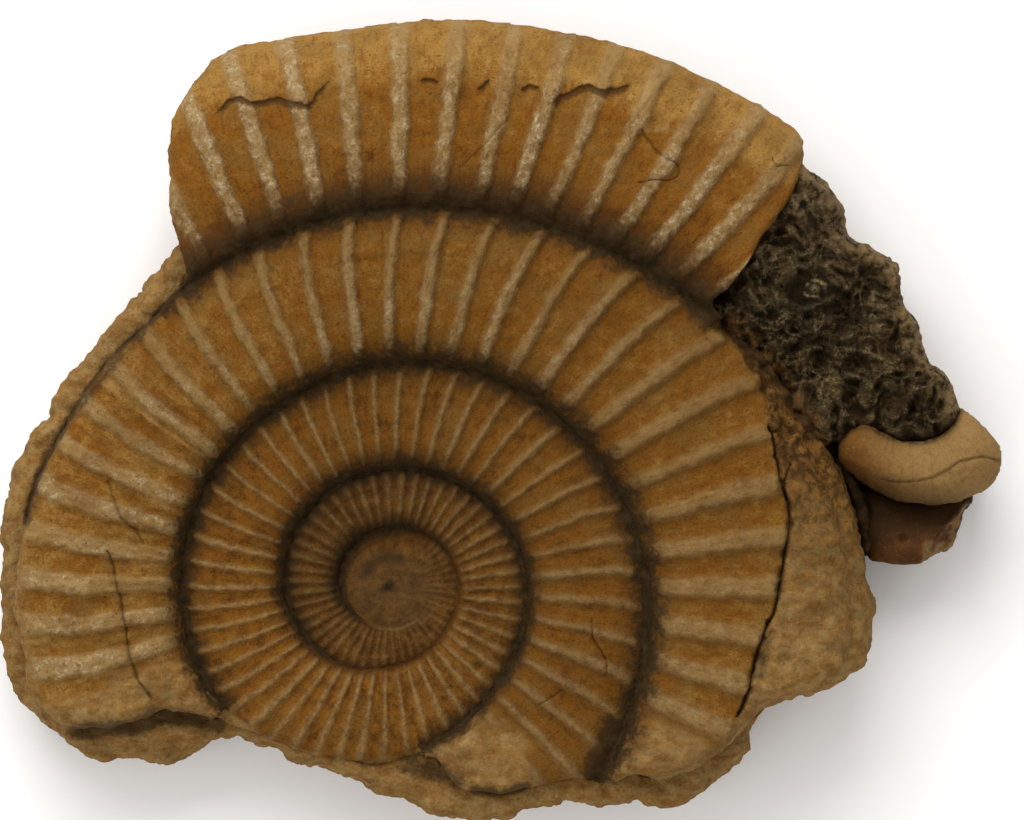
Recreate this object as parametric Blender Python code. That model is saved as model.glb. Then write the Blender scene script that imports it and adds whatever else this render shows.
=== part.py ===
"""A large ribbed ammonite lying face up on its stone.

Metres, +Z up. +X runs to the right and +Y to the top of the fossil seen face up. The flat back of
the stone rests on z = 0 and the bounding box is centred on the Z axis.

The coil is described by its growth. "turn" is the angle grown, in degrees, clockwise seen face up,
and "share" is how far across a whorl a point is, from its inner seam (0) to its outer edge (1).
Plan places are in millimetres from the coil's pole, heights in millimetres above the flat back.
"""
import math

import bmesh
import bpy
import numpy as np
from mathutils import Vector, noise
from mathutils.geometry import delaunay_2d_cdt

MM = 0.001

# ---- Driving dimensions of the coil (millimetres and degrees) --------------------------------

SEAM_FIRST_TURN = -420
SEAM_STEP = 30
SEAM_RADII = (
    7.2, 7.9, 9.0, 10.2, 11.1, 12.0, 12.6, 13.8, 15.3, 16.5, 17.1, 17.7, 18.9, 19.8, 20.6, 21.0,
    22.5, 24.3, 27.6, 29.4, 31.5, 33.0, 33.9, 35.4, 36.9, 39.0, 40.9, 42.6, 45.6, 51.6, 57.6, 62.1,
    62.4, 62.7, 63.7, 67.2, 70.2, 73.2, 76.5, 81.6, 90.0, 97.2, 102.0, 105.2, 107.1, 108.0, 108.9,
    113.4, 119.4, 129.0, 138.0, 141.0, 144.0,
)
INNER_GROWTH_PER_LAP = 2.0
FIRST_TURN = -780
# The stretches of coil that are left: the rest has broken away.
STRETCHES = ((FIRST_TURN, 440), (503, 768), (950, 1046))
LAST_STRETCH = STRETCHES[-1][0]

# The outermost whorl's own outer edge, where no later whorl marks it.
VENTER_TURNS = (950, 985, 1005, 1030, 1046)
VENTER_RADII = (168.0, 168.5, 174.5, 184.0, 188.0)
VENTER_HEIGHT = 30.0

# Height of the whorls' crests above the flat back, and how far the seams lie below them.
CREST_TURNS = (-780, -450, -240, 0, 180, 330, 440, 520, 600, 700, 768, 950, 1046)
CREST_HEIGHTS = (31.0, 31.0, 34.0, 38.5, 42.0, 46.0, 49.0, 50.0, 52.5, 54.0, 54.0, 58.0, 59.0)
SEAM_DEPTH_PER_WIDTH = 0.2
CREST_SHARE = 0.46
INNER_ROUNDNESS = 2.6
OUTER_ROUNDNESS = 2.2
BEYOND_EDGE_SLOPE = 0.35
# Where a stretch ends it is worn lower than the whorl was.
WEAR_TURNS = (375, 440, 503, 515, 744, 768)
WEAR_DEPTHS = (0.0, 6.0, 2.5, 0.0, 0.0, 8.0)

# Ribs: the turn of every sixth rib, and their shape along the coil.
RIB_FIRST_COUNT = -30
RIB_COUNT_STEP = 6
RIB_TURNS = (
    -434, -390, -346, -302, -258, -213.5, -169, -122, -76, -35, 7.5, 53, 100, 141.5, 179.5, 223,
    265, 308, 355.5, 405, 450, 496, 540.5, 585, 630, 674, 720, 766, 806, 847, 887, 927, 967.5,
    1003, 1033, 1066,
)
RIB_SHAPE_TURNS = (-450, -214, 0, 135, 300, 440, 520, 600, 690, 768, 958, 1046)
RIB_HEIGHTS = (0.2, 0.45, 0.7, 0.9, 1.2, 1.4, 1.8, 1.5, 2.1, 2.1, 1.7, 1.8)
RIB_WIDTHS = (0.50, 0.48, 0.45, 0.42, 0.40, 0.42, 0.48, 0.34, 0.42, 0.48, 0.40, 0.42)
RIB_SOFTNESS = 0.07
# How far the ribs bend forward at the whorl's inner and outer edge, in degrees.
LEAN_TURNS = (-450, 60, 150, 600, 780, 950, 1046)
LEAN_INSIDE = (1.0, 1.5, 0.5, 0.0, 0.0, 0.0, 0.0)
LEAN_OUTSIDE = (-1.0, -1.0, 1.0, 1.5, 1.5, -1.0, -1.0)

# ---- Outlines, clockwise seen face up --------------------------------------------------------

LEFT_BREAK = (
    (-62, 98.5), (-64, 105.5), (-66, 113.5), (-65.5, 126.5), (-65.5, 139.5), (-60.5, 149),
    (-56, 155.5), (-51.5, 160.5), (-45, 163.5),
)
VENTER_SPAN = (978, 1030)
RIGHT_BREAK = (
    (123.5, 136), (124, 127), (121, 119), (116.5, 112), (111, 104.5), (107, 97), (102, 90.5),
    (97, 85.5),
)
WALL_CONTACT = (
    (101, 79.5), (106, 74.5), (111.5, 69.5), (116, 63.5), (120, 57.5), (125, 51.5), (129, 44.5),
)
FLANGE_CLEFT = (
    (133, 38.5), (136, 31.5), (139, 23.5), (141, 15.5), (142.5, 7.5),
)
FLANGE_EDGE = (
    (143, 3.5), (144.5, -1), (145, -11.5), (143, -23), (135, -28.5), (127.5, -32.5),
    (119.5, -33), (112, -36.5),
)
BOTTOM_CONTACT = (
    (108, -40), (103.5, -45), (98.5, -49.5), (91.5, -53.5), (81.5, -57.5), (74, -56.5),
    (67, -59), (57, -57.5), (48, -59), (39, -61), (30, -62), (21.5, -60.5), (17, -55.5),
    (13, -51), (5.5, -53), (-3.5, -54.5), (-13.5, -53), (-24, -50.5), (-33, -47.5), (-42, -44),
    (-47.5, -42),
)
LEDGE_CONTACT = (
    (-52.5, -40.5), (-57, -38.5), (-63, -37), (-67.5, -36.5), (-72, -38.5), (-78, -40.5),
    (-87, -42), (-96, -42.5), (-101.5, -40),
)
BANK_CONTACT = (
    (-105.5, -35.5), (-108.5, -29.5), (-109, -22), (-111, -16), (-113, -8.5), (-112, -1),
    (-111.5, 6.5), (-110, 14), (-109, 21.5), (-107.5, 27.5), (-106, 33), (-102.5, 39.5),
    (-98.5, 46.5), (-95, 53), (-91, 59), (-86.5, 65.5), (-81.5, 71), (-75.5, 76), (-71, 80.5),
    (-66, 86.5), (-61, 92.5),
)
BOTTOM_OUTSIDE = (
    (112, -38), (108.5, -43), (108, -49), (101.5, -55.5), (93.5, -61.5), (83.5, -67),
    (75, -64.5), (70.5, -64), (66.5, -65.5), (59.5, -65.5), (51, -64.5), (42, -67), (35, -70),
    (24, -69.5), (14.5, -68.5), (11.5, -67.5), (7.5, -64.5), (-3, -62.5), (-11.5, -58.5),
    (-19.5, -55), (-28, -53.5), (-32.5, -50), (-39.5, -47.5),
)
BANK_OUTSIDE = (
    (-46, -44.5), (-51, -45.5), (-57, -48), (-61.5, -51.5), (-68, -53.5), (-75.5, -52),
    (-81, -51.5), (-87.5, -52.5), (-94.5, -49), (-102.5, -43.5), (-107.5, -38.5), (-112, -33),
    (-116, -26), (-117, -16), (-116.5, -4), (-117, 8), (-117, 21.5), (-115, 27.5), (-113, 35),
    (-110.5, 40.5), (-107.5, 46.5), (-102.5, 51), (-102, 55), (-99, 60.5), (-95.5, 64.5),
    (-89.5, 71), (-83.5, 79), (-77, 86.5), (-72, 92.5), (-68, 97.5), (-64, 102.5),
)
SLAB_TOP = (
    (-58, 104), (-57.5, 116), (-58, 131), (-53.5, 143), (-46, 152.5), (-38.5, 157), (-18, 160),
    (15, 161.5), (39, 160.5), (58, 157), (78, 151), (97.5, 143.5), (111, 136), (116, 128.5),
)
SLAB_RIGHT = (
    (125, 123.5), (128.5, 121.5), (132.5, 114.5), (135, 104.5), (151, 95), (152, 85.5),
    (156.5, 77.5), (159, 67), (164, 64), (169.5, 54.5), (178, 41.5), (178, 35), (169.5, 25),
    (167.5, 17), (162, 11), (154.5, 10), (147, 10.5), (141.5, 8), (140.5, 2), (141.5, -4),
    (142, -11.5), (140, -20.5), (132.5, -26), (126.5, -30), (119, -30.5), (113, -35),
)
WALL_OUTSIDE = (
    (126.5, 125), (129, 124), (132, 121), (135, 116.5), (137, 111.5), (137.5, 107), (144, 102.5),
    (152.5, 97.5), (153.5, 92), (154.5, 86), (159, 79), (160.5, 72.5), (162, 68), (165.5, 66),
    (169, 60.5), (170.5, 56.5),
)
WALL_BASIN = (
    (168.5, 53), (165.5, 49), (160.5, 45.5), (154.5, 44.5), (150, 47), (146.5, 50), (143, 51.5),
    (138.5, 50), (135.5, 46.5), (134, 43),
)
UPPER_FOLD_BASIN = (
    (136.5, 45), (139, 47.5), (143, 50), (146, 48.5), (149.5, 45.5), (154.5, 43), (160.5, 44),
    (166.5, 47.5), (170, 51.5), (172, 54),
)
UPPER_FOLD_FREE = (
    (175.5, 51), (178.5, 47.5), (183.5, 42.5), (184, 38), (183.5, 34), (178.5, 29), (172, 26),
    (165, 24.5), (157.5, 25), (150, 26.5), (144, 29.5), (139.5, 33.5), (137, 38), (135.5, 41.5),
)
LOWER_FOLD = (
    (145, 25), (153, 23), (165, 23), (170, 23.5), (172.5, 21.5), (172, 15.5), (169, 11),
    (164.5, 9), (160, 7), (153, 6.5), (147.5, 7.5), (144.5, 7.5), (143.5, 12.5), (143.5, 19.5),
)

# ---- Cracks, lumps and levels ----------------------------------------------------------------

MAIN_CRACK = (
    (113.5, 48.5), (114.5, 44), (116, 37.5), (117, 32), (119, 26), (119.5, 19.5), (119, 13.5),
    (117.5, 6.5), (116.5, -1), (115, -7.5), (111.5, -14.5), (109.5, -20.5), (108.5, -26.5),
    (106.5, -33), (104, -38.5),
)
CRACK_HALF_WIDTH = 1.4
CRACK_DEPTH = 5.0
# Lumps on the fossil: place, radius and height.
COIL_LUMPS = (
    ((27, -50), 8.5, 3.0), ((40, -55), 7.0, 2.0), ((20, -47), 5.0, 2.0), ((80, -50), 9.0, 3.0),
    ((99, -31), 8.0, 1.5), ((-88, -35), 9.0, 1.5), ((-65, -33), 6.0, -2.0),
)
# Levels of the stone beside the fossil: place and height.
STONE_LEVELS = (
    ((-62, 98), 37), ((-69, 89), 36), ((-80, 79), 35), ((-88, 68), 34), ((-98, 56), 34),
    ((-105, 44), 34), ((-111, 32), 34), ((-113, 20), 34), ((-115, 8), 33), ((-115, -7), 32),
    ((-113, -22), 31), ((-110, -34), 29), ((-104, -41), 26), ((-93, -47), 25), ((-81, -44), 27),
    ((-81, -50), 23), ((-68, -41), 30), ((-68, -50), 24), ((-56, -40), 31), ((-52, -44), 27),
    ((-45, -44), 30), ((-27, -51), 29), ((-12, -55), 29), ((3, -58), 31), ((3, -64), 26),
    ((18, -64), 29), ((33, -65), 28), ((51, -62), 30), ((69, -62), 32), ((84, -62), 30),
    ((93, -58), 32), ((105, -49), 33), ((110, -40), 34),
)
SLAB_HEIGHT = 14.0
WALL_LEVELS = (
    ((130, 119), 42), ((122, 112), 44), ((112, 99), 43), ((136, 108), 38), ((125, 98), 40),
    ((105, 84), 41), ((120, 84), 39), ((150, 92), 37), ((135, 82), 38), ((150, 75), 37),
    ((118, 70), 40), ((135, 66), 37), ((157, 66), 38), ((128, 52), 38), ((142, 56), 35),
    ((155, 50), 33), ((166, 60), 38),
)
NODULE_PLACE = (127.5, 89.5)
NODULE_RADIUS = 4.0
NODULE_HEIGHT = 3.0
WALL_KNOB_HEIGHT = 5.0
WALL_KNOB_SIZE = 8.0

# Rounding of the stone's own outer edge, and its undercut side.
STONE_DROP = 9.0
STONE_ROUNDING = 7.0
STONE_UNDERCUT = 5.0
SLAB_UNDERCUT = 3.0
# Steps down a side wall: the part of the way down, and the part of the undercut reached there.
STONE_WALL_STEPS = ((0.35, 0.0), (0.7, 0.35), (0.9, 0.75), (1.0, 1.3))
BLOCK_WALL_STEPS = ((0.5, 0.35), (1.0, 1.0))
WALL_ROUGHNESS = 1.2
WALL_ROUGHNESS_SIZE = 11.0
VENTER_RIB = 0.8

# Gap between neighbouring solids, level and upright.
GAP = 0.3
CONTACT_GAP = 0.6

# Mesh rows across the whorls for each stretch, and columns along them in parts of a rib.
RIB_GROUPS = (
    (RIB_TURNS[0], -214, (0, 0.15, 0.5, 0.85), (0, 0.5)),
    (-214, 141, (0, 0.12, 0.35, 0.62, 0.85), (0, 0.5)),
    (141, 440, (0, 0.07, 0.22, 0.5, 0.78, 0.92), (-0.25, 0, 0.25)),
    (503, 768, (0, 0.06, 0.2, 0.5, 0.78, 0.93), (-0.27, -0.13, 0.13, 0.27)),
    (950, 1046, (0, 0.06, 0.2, 0.45, 0.7, 0.85, 0.94), (-0.27, -0.13, 0.13, 0.27)),
)
LEAST_SPACING = 1.3
STONE_LATTICE = 6.0
WALL_LATTICE = 3.6
FOLD_LATTICE = 3.0
LATTICE_JITTER = 0.6

MATERIALS = {
    "ammonite": ((0.300, 0.150, 0.042), 0.78),
    "matrix_stone": ((0.230, 0.132, 0.052), 0.88),
    "dark_chamber_wall": ((0.040, 0.028, 0.016), 0.82),
    "upper_fold": ((0.190, 0.100, 0.038), 0.62),
    "lower_fold": ((0.120, 0.048, 0.018), 0.66),
}


# ---- The coil's growth -----------------------------------------------------------------------

def through_even_steps(position, values):
    """Smooth (Catmull-Rom) value at a position along evenly spaced values."""
    values = np.asarray(values, float)
    padded = np.concatenate(([2 * values[0] - values[1]], values, [2 * values[-1] - values[-2]]))
    step = np.clip(np.floor(position).astype(int), 0, len(values) - 2)
    part = position - step
    before, here, there, after = (padded[step + k] for k in range(4))
    slope = there - before
    bend = 2 * before - 5 * here + 4 * there - after
    turn_in = 3 * here - before - 3 * there + after
    return here + 0.5 * part * (slope + part * (bend + part * turn_in))


def seam_radius(turn):
    """Radius of the seam at a turn."""
    turn = np.asarray(turn, float)
    position = np.clip((turn - SEAM_FIRST_TURN) / SEAM_STEP, 0, len(SEAM_RADII) - 1)
    outer = np.exp(through_even_steps(position, np.log(SEAM_RADII)))
    inner = INNER_GROWTH_PER_LAP ** (np.minimum(turn - SEAM_FIRST_TURN, 0) / 360)
    return outer * inner


def outer_radius(turn):
    """Radius of the whorl's outer edge at a turn."""
    covered = seam_radius(turn + 360)
    return np.where(turn >= LAST_STRETCH, np.interp(turn, VENTER_TURNS, VENTER_RADII), covered)


def plan_point(turn, share):
    """Place in plan of a point on the coil."""
    inner = seam_radius(turn)
    radius = inner + (outer_radius(turn) - inner) * share
    angle = np.radians(turn)
    return radius * np.cos(angle), -radius * np.sin(angle)


def whorl_at(x, y):
    """Turn, share and whorl width at a place in plan."""
    radius = np.hypot(x, y)
    angle = np.degrees(np.arctan2(-y, x)) % 360
    turn = angle + 360 * math.floor(FIRST_TURN / 360)
    for lap in range(math.floor(FIRST_TURN / 360) + 1, 3):
        grown = angle + 360 * lap
        left = np.zeros(radius.shape, bool)
        for start, end in STRETCHES:
            left |= (grown >= start) & (grown <= end)
        turn = np.where(left & (seam_radius(grown) <= radius), grown, turn)
    inner = seam_radius(turn)
    width = outer_radius(turn) - inner
    return turn, (radius - inner) / width, width


# ---- Heights ---------------------------------------------------------------------------------

def smooth_step(low, high, value):
    part = np.clip((value - low) / (high - low), 0, 1)
    return part * part * (3 - 2 * part)


def crest_height(turn):
    return np.interp(turn, CREST_TURNS, CREST_HEIGHTS)


def seam_height(turn):
    """Height of the seam between a turn and the whorl inside it."""
    width = seam_radius(turn) - seam_radius(turn - 360)
    return crest_height(turn - 360) - SEAM_DEPTH_PER_WIDTH * width


def rib_lean(turn, share):
    """Degrees that a rib has bent forward at a share of the whorl's width."""
    inside = np.interp(turn, LEAN_TURNS, LEAN_INSIDE) * np.clip(1 - 2 * share, 0, 1)
    outside = np.interp(turn, LEAN_TURNS, LEAN_OUTSIDE) * np.clip(2 * share - 1, 0, 1) ** 2
    return inside + outside


def rib_count(turn):
    counts = RIB_FIRST_COUNT + RIB_COUNT_STEP * np.arange(len(RIB_TURNS))
    return np.interp(turn, RIB_TURNS, counts)


def rib_turn(count):
    counts = RIB_FIRST_COUNT + RIB_COUNT_STEP * np.arange(len(RIB_TURNS))
    return np.interp(count, counts, RIB_TURNS)


def rib_relief(turn, share):
    """Height of the ribs, which fade out at the seams."""
    count = rib_count(turn - rib_lean(turn, share))
    off_crest = np.abs(count - np.round(count))
    half_width = np.interp(turn, RIB_SHAPE_TURNS, RIB_WIDTHS) / 2
    band = 1 - smooth_step(half_width - RIB_SOFTNESS, half_width + RIB_SOFTNESS, off_crest)
    free_edge = np.where(turn >= LAST_STRETCH, 0.5, 0.0)
    fade = smooth_step(0.02, 0.16, share) * (1 - (1 - free_edge) * smooth_step(0.82, 1, share))
    return band * fade * np.interp(turn, RIB_SHAPE_TURNS, RIB_HEIGHTS)


def whorl_section(turn, share):
    """Height of the whorl's rounded section, without its ribs."""
    crest = crest_height(turn)
    inner = seam_height(turn)
    outer = np.where(turn >= LAST_STRETCH, VENTER_HEIGHT, seam_height(turn + 360))
    inward = np.clip(share / CREST_SHARE, 0, 1)
    outward = np.clip((share - CREST_SHARE) / (1 - CREST_SHARE), 0, 1)
    rise = (1 - (1 - inward) ** INNER_ROUNDNESS) ** (1 / INNER_ROUNDNESS)
    fall = (1 - outward ** OUTER_ROUNDNESS) ** (1 / OUTER_ROUNDNESS)
    return np.where(share < CREST_SHARE, inner + (crest - inner) * rise,
                    outer + (crest - outer) * fall)


def distance_to_line(x, y, line, closed=False):
    """Distance in plan from each place to a line of points."""
    corners = list(line) + ([line[0]] if closed else [])
    nearest = np.full(np.shape(x), np.inf)
    for (x0, y0), (x1, y1) in zip(corners, corners[1:]):
        along_x, along_y = x1 - x0, y1 - y0
        part = ((x - x0) * along_x + (y - y0) * along_y) / (along_x ** 2 + along_y ** 2)
        part = np.clip(part, 0, 1)
        nearest = np.minimum(nearest, np.hypot(x - x0 - part * along_x, y - y0 - part * along_y))
    return nearest


def is_inside(x, y, outline):
    """Which places lie inside a closed outline."""
    inside = np.zeros(np.shape(x), bool)
    for (x0, y0), (x1, y1) in zip(outline, list(outline[1:]) + [outline[0]]):
        if y0 != y1:
            crosses = (y0 > y) != (y1 > y)
            inside ^= crosses & (x < x0 + (y - y0) * (x1 - x0) / (y1 - y0))
    return inside


def lump_relief(x, y, lumps):
    relief = np.zeros(np.shape(x))
    for (place_x, place_y), radius, height in lumps:
        off = np.hypot(x - place_x, y - place_y) / radius
        relief += height * np.exp(-2 * off ** 2)
    return relief


def roughness(points, size, seed):
    """Smooth noise between -1 and 1 at each point, with features of the given size."""
    return np.array([noise.noise(Vector((*point, seed * 7.3)) / size) for point in points])


def coil_height(x, y):
    """Height of the fossil's upper face at a place in plan."""
    x, y = np.asarray(x, float), np.asarray(y, float)
    turn, share, width = whorl_at(x, y)
    height = whorl_section(turn, share) + rib_relief(turn, share)
    height -= BEYOND_EDGE_SLOPE * width * np.maximum(share - 1, 0)
    height -= np.interp(turn, WEAR_TURNS, WEAR_DEPTHS) * smooth_step(0, 0.3, share)
    height += lump_relief(x, y, COIL_LUMPS)
    crack = np.clip(1 - distance_to_line(x, y, MAIN_CRACK) / CRACK_HALF_WIDTH, 0, 1)
    return height - CRACK_DEPTH * crack


def level_height(x, y, levels):
    """Height that passes smoothly through the given levels."""
    x, y = np.asarray(x, float), np.asarray(y, float)
    total = np.zeros(x.shape)
    weights = np.zeros(x.shape)
    for (place_x, place_y), height in levels:
        weight = 1 / ((x - place_x) ** 2 + (y - place_y) ** 2 + 1) ** 2
        total += weight * height
        weights += weight
    return total / weights


def stone_height(x, y):
    return level_height(x, y, STONE_LEVELS)


def wall_height(x, y):
    """Height of the dark wall: rounded knobs and one round nodule."""
    x, y = np.asarray(x, float), np.asarray(y, float)
    knobs = roughness(np.column_stack([x, y]), WALL_KNOB_SIZE, 1)
    nodule = lump_relief(x, y, ((NODULE_PLACE, NODULE_RADIUS, NODULE_HEIGHT),))
    return level_height(x, y, WALL_LEVELS) + WALL_KNOB_HEIGHT * knobs + nodule


def line_fall(x, y, line, drop, radius):
    """How far the upper face has rounded down towards a line."""
    left = 1 - np.clip(distance_to_line(x, y, line) / radius, 0, 1)
    return drop * (1 - np.sqrt(1 - left ** 2))


def edge_fall(x, y, edges):
    """How far the upper face has rounded down towards its whole outline."""
    fall = np.zeros(np.shape(x))
    for edge, following in zip(edges, edges[1:] + edges[:1]):
        line = edge.line + following.line[:1]
        fall = np.maximum(fall, line_fall(x, y, line, edge.drop, edge.radius))
    return fall


# ---- Meshes ----------------------------------------------------------------------------------

class Edge:
    """Part of an outline: how far it is rounded down, over which reach, and how far undercut."""

    def __init__(self, line, drop, radius, undercut):
        self.line = [tuple(point) for point in line]
        self.drop = drop
        self.radius = radius
        self.undercut = undercut


def outline_of(edges):
    return [point for edge in edges for point in edge.line]


def offset_line(line, distance):
    """The line moved sideways, to the left of its direction."""
    line = np.asarray(line, float)
    ahead = np.diff(line, axis=0)
    ahead /= np.linalg.norm(ahead, axis=1)[:, None]
    tangent = np.vstack([ahead[:1], ahead[:-1] + ahead[1:], ahead[-1:]])
    tangent /= np.linalg.norm(tangent, axis=1)[:, None]
    moved = line + distance * np.column_stack([-tangent[:, 1], tangent[:, 0]])
    return [tuple(point) for point in moved]


def inset_ring(ring, distances):
    """A clockwise ring moved inwards by a distance for each corner."""
    ring = np.asarray(ring, float)
    tangent = np.roll(ring, -1, axis=0) - np.roll(ring, 1, axis=0)
    tangent /= np.linalg.norm(tangent, axis=1)[:, None]
    inward = np.column_stack([tangent[:, 1], -tangent[:, 0]])
    return ring + inward * np.asarray(distances, float)[:, None]


def fill(outline, points=(), lines=()):
    """Triangles over an outline and through points inside it, with the rim's corner numbers."""
    flat = [Vector(point) for point in outline] + [Vector(point) for point in points]
    shifted = [(a + len(outline), b + len(outline)) for a, b in lines]
    ring = list(range(len(outline)))
    corners, _, faces, origins, _, _ = delaunay_2d_cdt(flat, shifted, [ring], 1, 1e-4)
    place = {old: new for new, olds in enumerate(origins) for old in olds}
    return np.array([tuple(corner) for corner in corners]), faces, [place[i] for i in ring]


def keep_inside(points, lines, outline, margin):
    """Only the points well inside an outline, and the lines between them."""
    points = np.asarray(points, float)
    kept = is_inside(points[:, 0], points[:, 1], outline)
    kept &= distance_to_line(points[:, 0], points[:, 1], outline, closed=True) > margin
    number = np.cumsum(kept) - 1
    return points[kept], [(number[a], number[b]) for a, b in lines if kept[a] and kept[b]]


def lattice_over(outline, spacing):
    """Places on a staggered lattice over the outline's box."""
    low, high = np.min(outline, axis=0), np.max(outline, axis=0)
    across = np.arange(low[0], high[0], spacing)
    up = np.arange(low[1], high[1], spacing)
    places = [(x + (row % 2) * spacing / 2, y) for row, y in enumerate(up) for x in across]
    shifts = np.column_stack([roughness(places, spacing, seed) for seed in (2, 3)])
    return [tuple(place) for place in np.asarray(places) + LATTICE_JITTER * spacing * shifts]


def shoulder_points(edges, least_radius=2.5):
    """Points along the inside of each widely rounded edge, where it starts to fall."""
    points = []
    for edge in edges:
        if edge.radius >= least_radius:
            for reach in (0.25, 0.8):
                points.extend(offset_line(edge.line, -reach * edge.radius))
    return points


class Shell:
    """Collects the faces of one closed solid, in millimetres."""

    def __init__(self):
        self.verts = []
        self.faces = []

    def add(self, plan, heights):
        first = len(self.verts)
        for (x, y), z in zip(plan, np.broadcast_to(heights, len(plan))):
            self.verts.append((float(x), float(y), float(z)))
        return list(range(first, len(self.verts)))

    def surface(self, outline, height, points=(), lines=()):
        """A face over an outline at the given height; returns its rim's vertices."""
        plan, faces, rim = fill(outline, points, lines)
        ids = self.add(plan, height(plan[:, 0], plan[:, 1]))
        self.faces.extend([ids[index] for index in face] for face in faces)
        return [ids[index] for index in rim]

    def band(self, upper, lower, closed=True):
        """A strip of faces between two lines of vertices."""
        for index in range(len(upper) if closed else len(upper) - 1):
            following = (index + 1) % len(upper)
            self.faces.append([upper[index], upper[following], lower[following], lower[index]])

    def wall(self, rim, ring, insets, floor, steps, match=None):
        """A rough side wall from a rim down to a flat base; each step is (way down, inset)."""
        match = list(range(len(ring))) if match is None else match
        rim_heights = np.array([self.verts[index][2] for index in rim])
        upper = rim
        for way_down, inset in steps:
            rough = WALL_ROUGHNESS * roughness(ring, WALL_ROUGHNESS_SIZE, way_down)
            moved = inset_ring(ring, np.maximum(np.asarray(insets) * inset + rough * inset, 0))
            heights = rim_heights + (floor - rim_heights) * way_down
            if way_down < 1:
                lower = self.add(moved[match], heights)
            else:
                base = self.surface(moved, lambda x, y: np.full(len(x), floor))
                lower = [base[index] for index in match]
            self.band(upper, lower)
            upper = lower

    def build(self, name):
        mesh = bpy.data.meshes.new(name)
        verts = [tuple(value * MM for value in vert) for vert in self.verts]
        mesh.from_pydata(verts, [], self.faces)
        bm = bmesh.new()
        bm.from_mesh(mesh)
        bmesh.ops.remove_doubles(bm, verts=bm.verts, dist=1e-6)
        bmesh.ops.dissolve_degenerate(bm, edges=bm.edges, dist=1e-7)
        bmesh.ops.triangulate(bm, faces=bm.faces)
        bmesh.ops.recalc_face_normals(bm, faces=bm.faces)
        bm.to_mesh(mesh)
        bm.free()
        piece = bpy.data.objects.new(name, mesh)
        bpy.context.collection.objects.link(piece)
        mesh.materials.append(make_material(name))
        return piece


def make_material(name):
    colour, roughness_value = MATERIALS[name]
    material = bpy.data.materials.new(name)
    material.use_nodes = True
    shader = material.node_tree.nodes["Principled BSDF"]
    shader.inputs["Base Color"].default_value = (*colour, 1)
    shader.inputs["Roughness"].default_value = roughness_value
    shader.inputs["Metallic"].default_value = 0
    material.diffuse_color = (*colour, 1)
    return material


def make_block(name, edges, height, points, lines):
    """A solid with a shaped upper face, rounded edges and undercut sides, on top of the slab."""
    outline = outline_of(edges)
    undercuts = [edge.undercut for edge in edges for _ in edge.line]
    points = list(points) + shoulder_points(edges)
    points, lines = keep_inside(points, lines, outline, LEAST_SPACING)
    shell = Shell()
    rim = shell.surface(outline, lambda x, y: height(x, y) - edge_fall(x, y, edges), points, lines)
    shell.wall(rim, np.asarray(outline), undercuts, SLAB_HEIGHT + GAP, BLOCK_WALL_STEPS)
    return shell.build(name)


# ---- The pieces ------------------------------------------------------------------------------

def rib_columns():
    """Lines across the whorls, along the tops and feet of the ribs, joined along the seams."""
    points = []
    lines = []
    for start, end, shares, phases in RIB_GROUPS:
        last_foot = None
        for count in range(math.ceil(rib_count(start)), math.floor(rib_count(end)) + 1):
            for phase in phases:
                turn = rib_turn(count + phase)
                first = len(points)
                for share in shares:
                    points.append(plan_point(turn + rib_lean(turn, share), share))
                lines.extend((first + k, first + k + 1) for k in range(len(shares) - 1))
                if last_foot is not None:
                    lines.append((last_foot, first))
                last_foot = first
    return points, lines


def add_line(points, lines, line):
    first = len(points)
    points.extend(line)
    lines.extend((first + k, first + k + 1) for k in range(len(line) - 1))


def nucleus_lines(points, lines):
    """The smooth innermost laps: their seam and their crest."""
    turns = np.arange(FIRST_TURN, RIB_TURNS[0], 24.0)
    for share in (0, 0.5):
        add_line(points, lines, [plan_point(turn, share) for turn in turns])


def venter_line():
    """The outermost whorl's outer edge, wavy with its ribs."""
    first, last = (rib_count(turn) for turn in VENTER_SPAN)
    line = []
    for count in range(math.ceil(first), math.floor(last) + 1):
        for phase in (-0.25, 0.0, 0.25):
            turn = rib_turn(count + phase) + rib_lean(VENTER_SPAN[0], 1)
            x, y = plan_point(turn, 1)
            swell = 1 + (VENTER_RIB if phase == 0 else 0) / math.hypot(x, y)
            line.append((x * swell, y * swell))
    return line


def make_ammonite():
    edges = [
        Edge(LEFT_BREAK, 5.0, 5.0, 3.0),
        Edge(venter_line(), 0.0, 1.0, 8.0),
        Edge(RIGHT_BREAK[:2], 4.0, 4.0, 4.0),
        Edge(RIGHT_BREAK[2:], 2.0, 2.0, 0.0),
        Edge(WALL_CONTACT, 1.5, 1.5, 0.0),
        Edge(FLANGE_CLEFT, 6.0, 4.0, 1.0),
        Edge(FLANGE_EDGE, 9.0, 6.0, 3.0),
        Edge(BOTTOM_CONTACT, 1.5, 1.5, 0.0),
        Edge(LEDGE_CONTACT, 4.0, 3.0, 0.0),
        Edge(BANK_CONTACT, 1.5, 1.5, 0.0),
    ]
    points, lines = rib_columns()
    nucleus_lines(points, lines)
    for side in (-CRACK_HALF_WIDTH, 0, CRACK_HALF_WIDTH):
        add_line(points, lines, offset_line(MAIN_CRACK, side))
    return make_block("ammonite", edges, coil_height, points, lines)


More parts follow.
